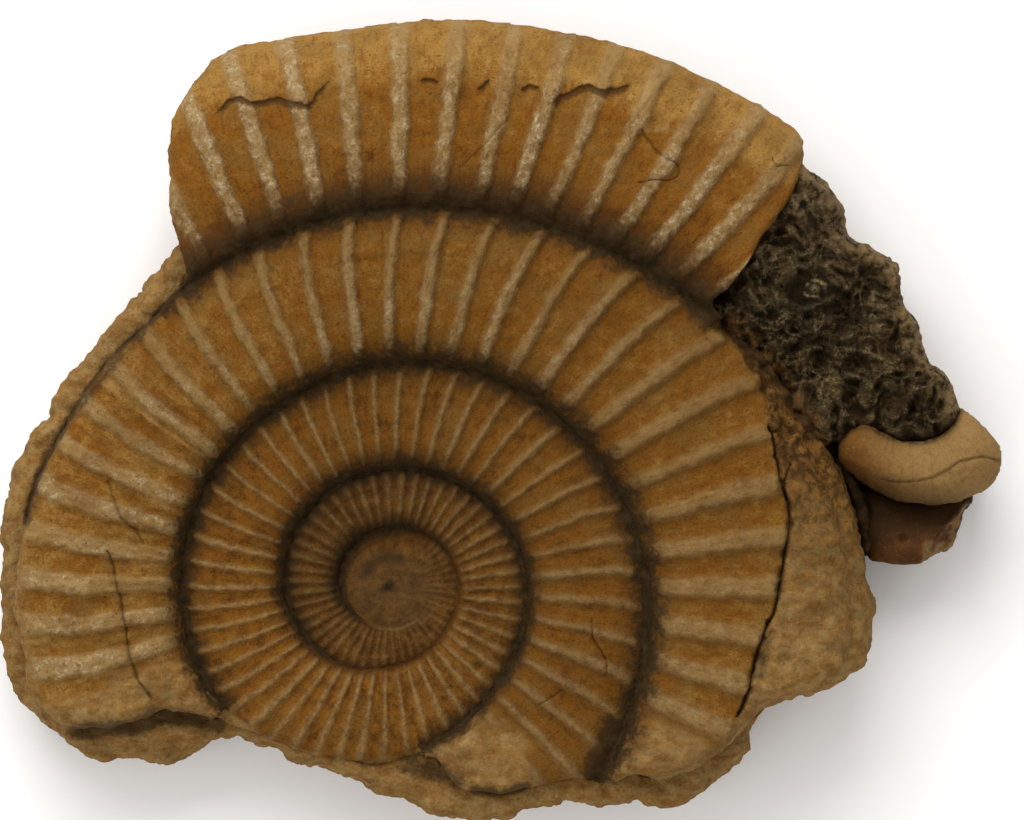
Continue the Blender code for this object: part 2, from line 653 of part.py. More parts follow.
def make_matrix_stone():
    """The slab with its raised rock: a low floor under the fossil, and a step up beside it."""
    contact = offset_line(BOTTOM_CONTACT + LEDGE_CONTACT + BANK_CONTACT, CONTACT_GAP)
    outside = BOTTOM_OUTSIDE + BANK_OUTSIDE
    slab_edge = SLAB_TOP + SLAB_RIGHT
    raised = list(outside) + contact[::-1]
    rounded = Edge(outside, STONE_DROP, STONE_ROUNDING, STONE_UNDERCUT)

    def raised_height(x, y):
        return stone_height(x, y) - line_fall(x, y, outside, STONE_DROP, STONE_ROUNDING)

    points = lattice_over(raised, STONE_LATTICE) + shoulder_points([rounded])
    points, _ = keep_inside(points, (), raised, LEAST_SPACING)
    shell = Shell()
    upper = shell.surface(raised, raised_height, points)
    floor_outline = [outside[-1], *slab_edge, outside[0], *contact]
    lower = shell.surface(floor_outline, lambda x, y: np.full(len(x), SLAB_HEIGHT))
    upper_edge, upper_contact = upper[:len(outside)], upper[len(outside):]
    lower_edge, lower_contact = lower[:len(slab_edge) + 2], lower[len(slab_edge) + 2:]
    step_top = [upper_edge[0], *upper_contact[::-1], upper_edge[-1]]
    step_foot = [lower_edge[-1], *lower_contact, lower_edge[0]]
    shell.band(step_top, step_foot, closed=False)
    ring = np.asarray(outside + slab_edge)
    undercuts = [STONE_UNDERCUT] * len(outside) + [SLAB_UNDERCUT] * len(slab_edge)
    # The rim has both an upper and a lower corner where the raised rock ends.
    last_raised = len(outside) - 1
    match = [*range(len(outside)), last_raised, *range(len(outside), len(ring)), 0]
    shell.wall(upper_edge + lower_edge, ring, undercuts, 0.0, STONE_WALL_STEPS, match)
    return shell.build("matrix_stone")


def make_dark_wall():
    contact = offset_line(RIGHT_BREAK[1:] + WALL_CONTACT, CONTACT_GAP)
    edges = [
        Edge(WALL_OUTSIDE, 8.0, 5.0, 3.0),
        Edge(WALL_BASIN, 0.5, 1.0, 0.0),
        Edge(contact[::-1], 0.5, 1.0, 0.0),
    ]
    lattice = lattice_over(outline_of(edges), WALL_LATTICE)
    return make_block("dark_chamber_wall", edges, wall_height, lattice, ())


def make_fold(name, edges, height):
    """A smooth rounded fold that swells from its outline."""
    lattice = lattice_over(outline_of(edges), FOLD_LATTICE)
    return make_block(name, edges, lambda x, y: np.full(np.shape(x), height), lattice, ())


def make_upper_fold():
    edges = [Edge(UPPER_FOLD_BASIN, 16.0, 9.0, 0.0), Edge(UPPER_FOLD_FREE, 16.0, 9.0, 4.0)]
    return make_fold("upper_fold", edges, 44.0)


def make_lower_fold():
    return make_fold("lower_fold", [Edge(LOWER_FOLD, 10.0, 7.0, 1.5)], 30.0)


def centre_on_axis(pieces):
    """Moves the meshes together so that the bounding box stands centred on the Z axis."""
    corners = np.array([vert.co for piece in pieces for vert in piece.data.vertices])
    middle = (corners.min(axis=0) + corners.max(axis=0)) / 2
    for piece in pieces:
        for vert in piece.data.vertices:
            vert.co.x -= middle[0]
            vert.co.y -= middle[1]


def main():
    for item in list(bpy.data.objects):
        bpy.data.objects.remove(item, do_unlink=True)
    centre_on_axis([
        make_ammonite(),
        make_matrix_stone(),
        make_dark_wall(),
        make_upper_fold(),
        make_lower_fold(),
    ])


main()
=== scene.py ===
"""Looks for the ammonite: fine meshes, procedural materials, camera, light and floor.

Plan places are in millimetres from the coil's pole, heights in millimetres above the flat back.
"turn" is the angle grown, in degrees, clockwise seen face up; "share" runs across a whorl from
its inner seam (0) to its outer edge (1). Each fine piece follows the same rules as its solid.
"""
import itertools
import math

import bpy
import numpy as np
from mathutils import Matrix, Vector, kdtree, noise
from mathutils.geometry import delaunay_2d_cdt


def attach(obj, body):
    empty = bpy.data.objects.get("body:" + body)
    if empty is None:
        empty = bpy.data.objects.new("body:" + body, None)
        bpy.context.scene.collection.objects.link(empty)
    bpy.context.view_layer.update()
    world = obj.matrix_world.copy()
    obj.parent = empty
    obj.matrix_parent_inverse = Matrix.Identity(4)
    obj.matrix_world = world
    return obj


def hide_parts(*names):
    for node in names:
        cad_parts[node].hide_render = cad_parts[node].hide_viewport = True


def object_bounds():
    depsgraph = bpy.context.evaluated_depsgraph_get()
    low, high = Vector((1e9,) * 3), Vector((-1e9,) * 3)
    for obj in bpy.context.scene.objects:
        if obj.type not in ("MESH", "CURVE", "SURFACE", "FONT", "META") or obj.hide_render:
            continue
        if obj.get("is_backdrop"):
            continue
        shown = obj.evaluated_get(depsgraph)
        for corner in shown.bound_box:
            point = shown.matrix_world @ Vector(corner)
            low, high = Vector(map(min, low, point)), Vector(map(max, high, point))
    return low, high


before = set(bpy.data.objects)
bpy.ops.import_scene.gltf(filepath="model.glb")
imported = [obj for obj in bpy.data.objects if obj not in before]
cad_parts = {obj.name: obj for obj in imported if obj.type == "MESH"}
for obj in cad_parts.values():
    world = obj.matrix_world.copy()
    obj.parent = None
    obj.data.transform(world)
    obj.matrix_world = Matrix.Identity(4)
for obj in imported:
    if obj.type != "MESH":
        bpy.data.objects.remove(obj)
CAD_LOW, CAD_HIGH = (tuple(corner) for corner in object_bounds())

MM = 0.001
# Where the outlines reach furthest left and down, which places the pole in the model's box.
PLAN_LEFT = -117.0
PLAN_BOTTOM = -70.0
POLE_X = CAD_LOW[0] - PLAN_LEFT * MM
POLE_Y = CAD_LOW[1] - PLAN_BOTTOM * MM

# ---- Driving dimensions of the coil (millimetres and degrees) --------------------------------

SEAM_FIRST_TURN = -420
SEAM_STEP = 30
SEAM_RADII = (
    7.2, 7.9, 9.0, 10.2, 11.1, 12.0, 12.6, 13.8, 15.3, 16.5, 17.1, 17.7, 18.9, 19.8, 20.6, 21.0,
    22.5, 24.3, 27.6, 29.4, 31.5, 33.0, 33.9, 35.4, 36.9, 39.0, 40.9, 42.6, 45.6, 51.6, 57.6, 62.1,
    62.4, 62.7, 63.7, 67.2, 70.2, 73.2, 76.5, 81.6, 90.0, 97.2, 102.0, 109.0, 111.3, 109.3, 108.9,
    113.4, 119.4, 129.0, 138.0, 141.0, 144.0,
)
INNER_GROWTH_PER_LAP = 2.0
FIRST_TURN = -780
# The stretches of coil that are left: the rest has broken away.
STRETCHES = ((FIRST_TURN, 440), (503, 768), (950, 1041))
LAST_STRETCH = STRETCHES[-1][0]

# The outermost whorl's own outer edge, where no later whorl marks it.
VENTER_TURNS = (950, 985, 1005, 1030, 1046)
VENTER_RADII = (168.0, 168.5, 174.5, 184.0, 188.0)
VENTER_HEIGHT = 30.0

# Height of the whorls' crests above the flat back, and how far the seams lie below them.
CREST_TURNS = (-780, -450, -240, 0, 180, 330, 440, 520, 600, 700, 768, 950, 1046)
CREST_HEIGHTS = (31.0, 31.0, 34.0, 38.5, 42.0, 46.0, 49.0, 50.0, 52.5, 54.0, 54.0, 58.0, 59.0)
SEAM_DEPTH_PER_WIDTH = 0.2
CREST_SHARE = 0.46
INNER_ROUNDNESS = 2.6
OUTER_ROUNDNESS = 2.2
BEYOND_EDGE_SLOPE = 0.35
# Where a stretch ends it is worn lower than the whorl was.
WEAR_TURNS = (375, 440, 503, 515, 744, 768)
WEAR_DEPTHS = (0.0, 8.0, 2.5, 0.0, 0.0, 9.0)

# Ribs: the turn of every sixth rib, and their height along the coil.
RIB_FIRST_COUNT = -30
RIB_COUNT_STEP = 6
RIB_TURNS = (
    -434, -390, -346, -302, -258, -213.5, -169, -122, -76, -35, 7.5, 53, 100, 141.5, 179.5, 223,
    265, 308, 355.5, 405, 450, 496, 540.5, 585, 630, 674, 720, 766, 806, 847, 887, 927, 967.5,
    1003, 1033, 1066,
)
RIB_HEIGHT_TURNS = (-450, -214, 0, 135, 300, 440, 520, 600, 690, 768, 958, 1046)
RIB_HEIGHTS = (0.2, 0.45, 0.7, 0.9, 1.2, 1.4, 1.8, 1.5, 2.1, 2.1, 1.7, 1.8)
# How far the ribs bend forward at the whorl's inner and outer edge, in degrees.
LEAN_TURNS = (-450, 60, 150, 600, 780, 950, 1046)
LEAN_INSIDE = (1.0, 1.5, 0.5, 0.0, 0.0, 0.0, 0.0)
LEAN_OUTSIDE = (-1.0, -1.0, 1.0, 1.5, 1.5, -0.4, -0.4)

# ---- Outlines, clockwise seen face up --------------------------------------------------------

LEFT_BREAK = (
    (-62, 98.5), (-64, 105.5), (-66, 113.5), (-65.5, 126.5), (-65.5, 139.5), (-60.5, 149),
    (-56, 155.5), (-51.5, 160.5), (-45, 163.5),
)
VENTER_SPAN = (978, 1030)
RIGHT_BREAK = (
    (123.5, 136), (124, 127), (121, 119), (116.5, 112), (111, 104.5), (107, 97), (102, 90.5),
    (97, 85.5),
)
WALL_CONTACT = (
    (101, 79.5), (106, 74.5), (111.5, 69.5), (116, 63.5), (120, 57.5), (125, 51.5), (129, 44.5),
)
FLANGE_CLEFT = ((133, 38.5), (136, 31.5), (139, 23.5), (141, 15.5), (142.5, 7.5))
FLANGE_EDGE = (
    (143, 3.5), (144.5, -1), (145, -11.5), (143, -23), (135, -28.5), (127.5, -32.5),
    (119.5, -33), (112, -36.5),
)
BOTTOM_CONTACT = (
    (108, -40), (103.5, -45), (98.5, -49.5), (91.5, -53.5), (81.5, -57.5), (74, -56.5),
    (67, -59), (57, -57.5), (48, -59), (39, -61), (30, -62), (21.5, -60.5), (17, -55.5),
    (13, -51), (5.5, -53), (-3.5, -54.5), (-13.5, -53), (-24, -50.5), (-33, -47.5), (-42, -44),
    (-47.5, -42),
)
LEDGE_CONTACT = (
    (-52.5, -40.5), (-57, -38.5), (-63, -37), (-67.5, -36.5), (-72, -38.5), (-78, -40.5),
    (-87, -42), (-96, -42.5), (-101.5, -40),
)
BANK_CONTACT = (
    (-105.5, -35.5), (-108.5, -29.5), (-109, -22), (-111, -16), (-113, -8.5), (-112, -1),
    (-111.5, 6.5), (-110, 14), (-109, 21.5), (-107.5, 27.5), (-106, 33), (-102.5, 39.5),
    (-98.5, 46.5), (-95, 53), (-91, 59), (-86.5, 65.5), (-81.5, 71), (-75.5, 76), (-71, 80.5),
    (-66, 86.5), (-61, 92.5),
)
CONTACT = BOTTOM_CONTACT + LEDGE_CONTACT + BANK_CONTACT
BOTTOM_OUTSIDE = (
    (112, -38), (108.5, -43), (108, -49), (101.5, -55.5), (93.5, -61.5), (83.5, -67),
    (75, -64.5), (70.5, -64), (66.5, -65.5), (59.5, -65.5), (51, -64.5), (42, -67), (35, -70),
    (24, -69.5), (14.5, -68.5), (11.5, -67.5), (7.5, -64.5), (-3, -62.5), (-11.5, -58.5),
    (-19.5, -55), (-28, -53.5), (-32.5, -50), (-39.5, -47.5),
)
BANK_OUTSIDE = (
    (-46, -44.5), (-51, -45.5), (-57, -48), (-61.5, -51.5), (-68, -53.5), (-75.5, -52),
    (-81, -51.5), (-87.5, -52.5), (-94.5, -49), (-102.5, -43.5), (-107.5, -38.5), (-112, -33),
    (-116, -26), (-117, -16), (-116.5, -4), (-117, 8), (-117, 21.5), (-115, 27.5), (-113, 35),
    (-110.5, 40.5), (-107.5, 46.5), (-102.5, 51), (-102, 55), (-99, 60.5), (-95.5, 64.5),
    (-89.5, 71), (-83.5, 79), (-77, 86.5), (-72, 92.5), (-68, 97.5), (-64, 102.5),
)
SLAB_TOP = (
    (-58, 104), (-57.5, 116), (-58, 131), (-53.5, 143), (-46, 152.5), (-38.5, 157), (-18, 160),
    (15, 161.5), (39, 160.5), (58, 157), (78, 151), (97.5, 143.5), (111, 136), (116, 128.5),
)
SLAB_RIGHT = (
    (125, 123.5), (128.5, 121.5), (132.5, 114.5), (135, 104.5), (151, 95), (152, 85.5),
    (156.5, 77.5), (159, 67), (164, 64), (169.5, 54.5), (178, 41.5), (178, 35), (169.5, 25),
    (167.5, 17), (162, 11), (154.5, 10), (147, 10.5), (141.5, 8), (140.5, 2), (141.5, -4),
    (142, -11.5), (140, -20.5), (132.5, -26), (126.5, -30), (119, -30.5), (113, -35),
)
WALL_OUTSIDE = (
    (126.5, 125), (129, 124), (132, 121), (135, 116.5), (137, 111.5), (137.5, 107), (144, 102.5),
    (152.5, 97.5), (153.5, 92), (154.5, 86), (159, 79), (160.5, 72.5), (162, 68), (165.5, 66),
    (169, 60.5), (170.5, 56.5),
)
WALL_BASIN = (
    (168.5, 53), (166.3, 49.3), (163.5, 47.2), (160, 46), (156, 45.8), (152, 46.7), (149, 48.3),
    (145.5, 50.2), (141, 50.5), (136, 48.6), (133.8, 45.2),
)
UPPER_FOLD_BASIN = (
    (135.5, 44), (137.5, 47), (141, 48.5), (145, 48.3), (148, 46.5), (151.5, 44.7), (156, 43.8),
    (161, 44), (165, 45.3), (168, 47.5), (170.2, 50.5), (172, 53.5),
)
UPPER_FOLD_FREE = (
    (175.6, 50.8), (179.2, 47.7), (181.9, 45), (183.7, 41.8), (184, 38.2), (183.6, 34.6),
    (181.4, 31.4), (177.9, 28.5), (172.9, 26), (168.8, 24.9), (163.4, 24.5), (157.6, 25),
    (152.2, 26), (148.2, 27.6), (144.2, 29.9), (140.4, 32.8), (137, 35.5), (135.2, 37.8),
    (134.7, 41),
)
LOWER_FOLD = (
    (145, 25), (153, 23), (165, 22.5), (170, 23.2), (172, 21.5), (172.6, 19.7), (171.8, 16.1),
    (170.5, 13), (168.2, 10.6), (164.8, 9.2), (162, 7.3), (157.6, 6.5), (152.2, 6.3),
    (147.7, 7.2), (144.5, 8), (143.5, 12.5), (143.5, 19.5),
)

# ---- Cracks, lumps and levels ----------------------------------------------------------------

MAIN_CRACK = (
    (113.5, 48.5), (114.5, 44), (116, 37.5), (117, 32), (119, 26), (119.5, 19.5), (119, 13.5),
    (117.5, 6.5), (116.5, -1), (115, -7.5), (111.5, -14.5), (109.5, -20.5), (108.5, -26.5),
    (106.5, -33), (104, -38.5),
)
# Lumps on the fossil: place, radius and height.
COIL_LUMPS = (
    ((27, -50), 8.5, 3.0), ((40, -55), 7.0, 2.0), ((20, -47), 5.0, 2.0), ((80, -50), 9.0, 3.0),
    ((99, -31), 8.0, 1.5), ((-88, -35), 9.0, 1.5), ((-65, -33), 6.0, -2.0),
    ((24, -46), 4.0, 1.2), ((33, -52), 4.0, 1.0), ((25, -57), 3.5, -1.5), ((37, -59), 3.0, -1.0),
    ((18, -53), 3.0, -1.2), ((77, -45), 4.0, 1.5), ((88, -52), 5.0, 1.5), ((95, -43), 5.0, 1.2),
    ((-100, -33), 5.0, 1.0), ((-73, -36), 4.0, 1.2), ((-62, -34), 3.0, -1.8),
    ((125, -5), 6.0, 1.5), ((134, -14), 5.0, 1.5), ((127, 12), 5.0, 1.5), ((137, 2), 4.0, -1.5),
    ((123, -22), 5.0, -1.2), ((131, 22), 4.0, 1.2),
)
# Levels of the stone beside the fossil: place and height.
STONE_LEVELS = (
    ((-62, 98), 37), ((-69, 89), 36), ((-80, 79), 35), ((-88, 68), 34), ((-98, 56), 34),
    ((-105, 44), 34), ((-111, 32), 34), ((-113, 20), 34), ((-115, 8), 33), ((-115, -7), 32),
    ((-113, -22), 31), ((-110, -34), 29), ((-104, -41), 28), ((-93, -47), 28), ((-81, -44), 30),
    ((-81, -50), 27), ((-68, -41), 32), ((-68, -50), 28), ((-56, -40), 33), ((-52, -44), 30),
    ((-45, -44), 32), ((-27, -51), 34), ((-12, -55), 35), ((3, -58), 36), ((3, -64), 33),
    ((18, -64), 36), ((33, -65), 36), ((51, -62), 37), ((69, -62), 38), ((84, -62), 36),
    ((93, -58), 38), ((105, -49), 39), ((110, -40), 39),
)
SLAB_HEIGHT = 14.0
WALL_LEVELS = (
    ((130, 119), 42), ((122, 112), 44), ((112, 99), 43), ((136, 108), 38), ((125, 98), 40),
    ((105, 84), 41), ((120, 84), 39), ((150, 92), 37), ((135, 82), 38), ((150, 75), 37),
    ((118, 70), 40), ((135, 66), 37), ((157, 66), 38), ((128, 52), 38), ((142, 56), 35),
    ((155, 50), 33), ((166, 60), 38),
)
NODULE_PLACE = (127.5, 89.5)
NODULE_HEIGHT = 3.0
WALL_KNOB_HEIGHT = 5.0
WALL_KNOB_SIZE = 8.0

# Rounding of the stone's own outer edge, and its undercut side.
STONE_DROP = 6.0
STONE_ROUNDING = 5.0
STONE_UNDERCUT = 5.0
SLAB_UNDERCUT = 3.0
# Steps down a side wall: the part of the way down, and the part of the undercut reached there.
STONE_WALL_STEPS = ((0.35, 0.0), (0.7, 0.35), (0.9, 0.75), (1.0, 1.3))
# The block and the folds start a little above the slab.
GAP = 0.3
BLOCK_FLOOR = SLAB_HEIGHT + GAP


# ---- The coil's growth -----------------------------------------------------------------------

def through_even_steps(position, values):
    """Smooth (Catmull-Rom) value at a position along evenly spaced values."""
    values = np.asarray(values, float)
    padded = np.concatenate(([2 * values[0] - values[1]], values, [2 * values[-1] - values[-2]]))
    step = np.clip(np.floor(position).astype(int), 0, len(values) - 2)
    part = position - step
    before, here, there, after = (padded[step + k] for k in range(4))
    slope = there - before
    bend = 2 * before - 5 * here + 4 * there - after
    turn_in = 3 * here - before - 3 * there + after
    return here + 0.5 * part * (slope + part * (bend + part * turn_in))


def seam_radius(turn):
    """Radius of the seam at a turn."""
    turn = np.asarray(turn, float)
    position = np.clip((turn - SEAM_FIRST_TURN) / SEAM_STEP, 0, len(SEAM_RADII) - 1)
    outer = np.exp(through_even_steps(position, np.log(SEAM_RADII)))
    inner = INNER_GROWTH_PER_LAP ** (np.minimum(turn - SEAM_FIRST_TURN, 0) / 360)
    return outer * inner


def outer_radius(turn):
    """Radius of the whorl's outer edge at a turn."""
    covered = seam_radius(turn + 360)
    return np.where(turn >= LAST_STRETCH, np.interp(turn, VENTER_TURNS, VENTER_RADII), covered)


def plan_point(turn, share):
    """Place in plan of a point on the coil."""
    inner = seam_radius(turn)
    radius = inner + (outer_radius(turn) - inner) * share
    angle = np.radians(turn)
    return radius * np.cos(angle), -radius * np.sin(angle)


def is_left(turn):
    """Whether the coil is still there at a turn."""
    return sum((turn >= start) & (turn <= end) for start, end in STRETCHES) > 0


def whorl_at(x, y):
    """Turn, share and whorl width at a place in plan."""
    radius = np.hypot(x, y)
    angle = np.degrees(np.arctan2(-y, x)) % 360
    first_lap, laps = math.floor(FIRST_TURN / 360), math.ceil(VENTER_TURNS[-1] / 360)
    turn = angle + 360 * first_lap
    for lap in range(first_lap + 1, laps):
        grown = angle + 360 * lap
        turn = np.where(is_left(grown) & (seam_radius(grown) <= radius), grown, turn)
    inner = seam_radius(turn)
    width = outer_radius(turn) - inner
    return turn, (radius - inner) / width, width


# ---- Heights ---------------------------------------------------------------------------------

def smooth_step(low, high, value):
    part = np.clip((value - low) / (high - low), 0, 1)
    return part * part * (3 - 2 * part)


def crest_height(turn):
    return np.interp(turn, CREST_TURNS, CREST_HEIGHTS)


def seam_height(turn):
    """Height of the seam between a turn and the whorl inside it."""
    width = seam_radius(turn) - seam_radius(turn - 360)
    return crest_height(turn - 360) - SEAM_DEPTH_PER_WIDTH * width


def rib_lean(turn, share):
    """Degrees that a rib has bent forward at a share of the whorl's width."""
    inside = np.interp(turn, LEAN_TURNS, LEAN_INSIDE) * np.clip(1 - 2 * share, 0, 1)
    outside = np.interp(turn, LEAN_TURNS, LEAN_OUTSIDE) * np.clip(2 * share - 1, 0, 1) ** 2
    return inside + outside


def rib_count(turn):
    counts = RIB_FIRST_COUNT + RIB_COUNT_STEP * np.arange(len(RIB_TURNS))
    return np.interp(turn, RIB_TURNS, counts)


def whorl_section(turn, share):
    """Height of the whorl's rounded section, without its ribs."""
    crest = crest_height(turn)
    inner = seam_height(turn)
    outer = np.where(turn >= LAST_STRETCH, VENTER_HEIGHT, seam_height(turn + 360))
    inward = np.clip(share / CREST_SHARE, 0, 1)
    outward = np.clip((share - CREST_SHARE) / (1 - CREST_SHARE), 0, 1)
    rise = (1 - (1 - inward) ** INNER_ROUNDNESS) ** (1 / INNER_ROUNDNESS)
    fall = (1 - outward ** OUTER_ROUNDNESS) ** (1 / OUTER_ROUNDNESS)
    return np.where(share < CREST_SHARE, inner + (crest - inner) * rise,
                    outer + (crest - outer) * fall)


# ---- Noise and lines -------------------------------------------------------------------------

def hashed(cell, seed):
    """A fixed pseudo-random value between -1 and 1 for each lattice cell."""
    mixed = cell[:, 0] * 374761393 + cell[:, 1] * 668265263 + cell[:, 2] * 1274126177
    mixed = (mixed + seed * 144665) & 0xFFFFFFFF
    for shift, factor in ((13, 1103515245), (15, 668265263)):
        mixed = ((mixed ^ (mixed >> shift)) * factor) & 0xFFFFFFFF
    return (mixed ^ (mixed >> 16)) / 2 ** 31 - 1


def bumps(points, size, seed):
    """Smooth noise between -1 and 1 at each 3-D point, with features of the given size."""
    spot = points / size
    cell = np.floor(spot).astype(np.int64)
    part = spot - cell
    part = part ** 3 * (part * (part * 6 - 15) + 10)
    total = np.zeros(len(points))
    for corner in itertools.product((0, 1), repeat=3):
        weight = np.prod(np.where(np.array(corner) == 1, part, 1 - part), axis=1)
        total += weight * hashed(cell + corner, seed)
    return total


def layers(points, size, seed, count=3, keep=0.5):
    """Several sizes of noise laid over each other, each half as large as the one before."""
    return sum(keep ** layer * bumps(points, size / 2 ** layer, seed + layer)
               for layer in range(count))


def ridges(points, size, seed, count=2):
    """Noise with sharp crests, between 0 and 1."""
    return sum(0.5 ** layer * (1 - np.abs(bumps(points, size / 2 ** layer, seed + layer)) * 2)
               for layer in range(count)) / 1.5


def solid_points(x, y, z=0.0):
    return np.column_stack([x, y, np.broadcast_to(z, np.shape(x))])


def line_place(x, y, line, reach=400.0):
    """Distance to a line of points, the side of it (+1 to its left), and how far along (0..1).

    Places further than the reach keep a distance of the reach.
    """
    line = np.asarray(line, float)
    low, high = line.min(axis=0) - reach, line.max(axis=0) + reach
    close = (x > low[0]) & (x < high[0]) & (y > low[1]) & (y < high[1])
    near_x, near_y = x[close], y[close]
    nearest = np.full(near_x.shape, reach)
    side, along = np.zeros(near_x.shape), np.zeros(near_x.shape)
    steps = np.diff(line, axis=0)
    lengths = np.linalg.norm(steps, axis=1)
    run = 0.0
    for (x0, y0), (step_x, step_y), length in zip(line, steps, lengths):
        part = ((near_x - x0) * step_x + (near_y - y0) * step_y) / length ** 2
        part = np.clip(part, 0, 1)
        off = np.hypot(near_x - x0 - part * step_x, near_y - y0 - part * step_y)
        closer = off < nearest
        nearest = np.where(closer, off, nearest)
        turned = np.sign(step_x * (near_y - y0) - step_y * (near_x - x0))
        side = np.where(closer, turned, side)
        along = np.where(closer, (run + part * length) / lengths.sum(), along)
        run += length
    whole = [np.full(x.shape, reach), np.zeros(x.shape), np.zeros(x.shape)]
    for values, found in zip(whole, (nearest, side, along)):
        values[close] = found
    return whole


def distance_to(x, y, line):
    return line_place(x, y, line)[0]


def near_line(x, y, line, reach):
    """1 on a line, falling to 0 in the shape of a bell."""
    return np.exp(-(distance_to(x, y, line) / reach) ** 2)


def closeness(x, y, line, reach, core=0.0):
    """1 as far as the core around a line, fading to 0 at the reach."""
    return 1 - smooth_step(core, reach, distance_to(x, y, line))


def near_place(x, y, place, reach):
    """1 at a place, falling to 0 in the shape of a bell."""
    return np.exp(-(np.hypot(x - place[0], y - place[1]) / reach) ** 2)


def is_inside(x, y, outline):
    """Which places lie inside a closed outline."""
    inside = np.zeros(np.shape(x), bool)
    for (x0, y0), (x1, y1) in zip(outline, np.roll(outline, -1, axis=0)):
        if y0 != y1:
            crosses = (y0 > y) != (y1 > y)
            inside ^= crosses & (x < x0 + (y - y0) * (x1 - x0) / (y1 - y0))
    return inside


def lump_relief(x, y, lumps):
    return sum(height * np.exp(-2 * (np.hypot(x - place[0], y - place[1]) / radius) ** 2)
               for place, radius, height in lumps)


def level_height(x, y, levels):
    """Height that passes smoothly through the given levels."""
    total = np.zeros(x.shape)
    weights = np.zeros(x.shape)
    for (place_x, place_y), height in levels:
        weight = 1 / ((x - place_x) ** 2 + (y - place_y) ** 2 + 1) ** 2
        total += weight * height
        weights += weight
    return total / weights


def offset_line(line, distance):
    """The line moved sideways, to the left of its direction."""
    line = np.asarray(line, float)
    ahead = np.diff(line, axis=0)
    ahead /= np.linalg.norm(ahead, axis=1)[:, None]
    tangent = np.vstack([ahead[:1], ahead[:-1] + ahead[1:], ahead[-1:]])
    tangent /= np.linalg.norm(tangent, axis=1)[:, None]
    moved = line + distance * np.column_stack([-tangent[:, 1], tangent[:, 0]])
    return [tuple(point) for point in moved]


def in_steps(line, spacing):
    """The line with evenly spaced points."""
    line = np.asarray(line, float)
    run = np.concatenate([[0], np.cumsum(np.linalg.norm(np.diff(line, axis=0), axis=1))])
    marks = np.linspace(0, run[-1], max(2, round(run[-1] / spacing) + 1))
    return np.column_stack([np.interp(marks, run, line[:, k]) for k in (0, 1)])


def ragged(line, spacing, amount, size, seed):
    """The line with closely spaced points, shaken a little sideways."""
    points = in_steps(line, spacing)
    spread = solid_points(*points.T)
    shake = [layers(spread, size, seed + 5 * k, 2) for k in (0, 1)]
    return points + amount * np.column_stack(shake)


# ---- Blocks of fine mesh ---------------------------------------------------------------------

def tree_of(points):
    tree = kdtree.KDTree(len(points))
    for index, (x, y) in enumerate(points):
        tree.insert((x, y, 0), index)
    tree.balance()
    return tree


def wound(faces, plan, way):
    """The triangles wound to face up (way 1) or down (way -1)."""
    corner = plan[faces]
    area = way * np.cross(corner[:, 1] - corner[:, 0], corner[:, 2] - corner[:, 0])
    faces[area < 0] = faces[area < 0][:, ::-1]
    return faces


class Rim:
    """A clockwise outline as a smooth curve of closely spaced points.

    Each edge is its line, how far it is rounded down, over which reach, how far its side is
    undercut, and how rough it is.
    """

    ROWS = (0.08, 0.28, 0.62, 1.1, 1.8, 2.7, 3.7)
    RAGGEDNESS = 0.35
    RAGGED_SIZE = 3.5
    SMOOTHED_OVER = 3.0

    def __init__(self, edges, spacing):
        corners = np.array([point for line, *_ in edges for point in line], float)
        values = np.array([held for line, *held in edges for _ in line], float)
        following = np.roll(corners, -1, axis=0)
        length = np.linalg.norm(following - corners, axis=1)
        slope = following - np.roll(corners, 1, axis=0)
        slope /= (length + np.roll(length, 1))[:, None]
        points, tangents, made = [], [], []
        for here in range(len(corners)):
            there = (here + 1) % len(corners)
            count = max(1, round(length[here] / spacing))
            part = (np.arange(count) / count)[:, None]
            ease = part * part * (3 - 2 * part)
            start = (1 - part) ** 2 * part * length[here] * slope[here]
            end = part ** 2 * (part - 1) * length[here] * slope[there]
            points.append(corners[here] * (1 - ease) + corners[there] * ease + start + end)
            tangents.append(slope[here] * (1 - part) + slope[there] * part)
            made.append(values[here] * (1 - part) + values[there] * part)
        points, tangent = np.concatenate(points), np.concatenate(tangents)
        reach = max(1, round(self.SMOOTHED_OVER / spacing))
        tangent = sum(np.roll(tangent, shift, axis=0) for shift in range(-reach, reach + 1))
        tangent /= np.linalg.norm(tangent, axis=1)[:, None]
        self.inward = np.column_stack([tangent[:, 1], -tangent[:, 0]])
        self.drop, self.radius, self.undercut, self.rough = np.concatenate(made).T
        uneven = layers(solid_points(*points.T), self.RAGGED_SIZE, 3)
        uneven = self.RAGGEDNESS * self.rough * uneven
        self.points = points + self.inward * uneven[:, None]
        self.tree = tree_of(self.points)

    def nearest(self, plan):
        """Number of the nearest rim point and distance to the rim, for each place."""
        found = np.array([self.tree.find((x, y, 0))[1] for x, y in plan])
        distance = np.full(len(plan), np.inf)
        for step in (-1, 0):
            start = self.points[(found + step) % len(self.points)]
            along = self.points[(found + step + 1) % len(self.points)] - start
            part = np.sum((plan - start) * along, axis=1) / np.sum(along ** 2, axis=1)
            off = plan - start - np.clip(part, 0, 1)[:, None] * along
            distance = np.minimum(distance, np.linalg.norm(off, axis=1))
        return found, distance

    def rows(self):
        """Points along the inside of the rim, closer together towards it, and their lines."""
        count = len(self.points)
        lines = [(first + index, first + (index + 1) % count)
                 for first in range(0, count * len(self.ROWS), count) for index in range(count)]
        return np.concatenate([self.points + self.inward * row for row in self.ROWS]), lines


# The lattice's rows are this close together, and its places are shaken this much, in spacings.
LATTICE_ROW = 0.866
LATTICE_SHAKE = 0.22
LATTICE_SEED = 11


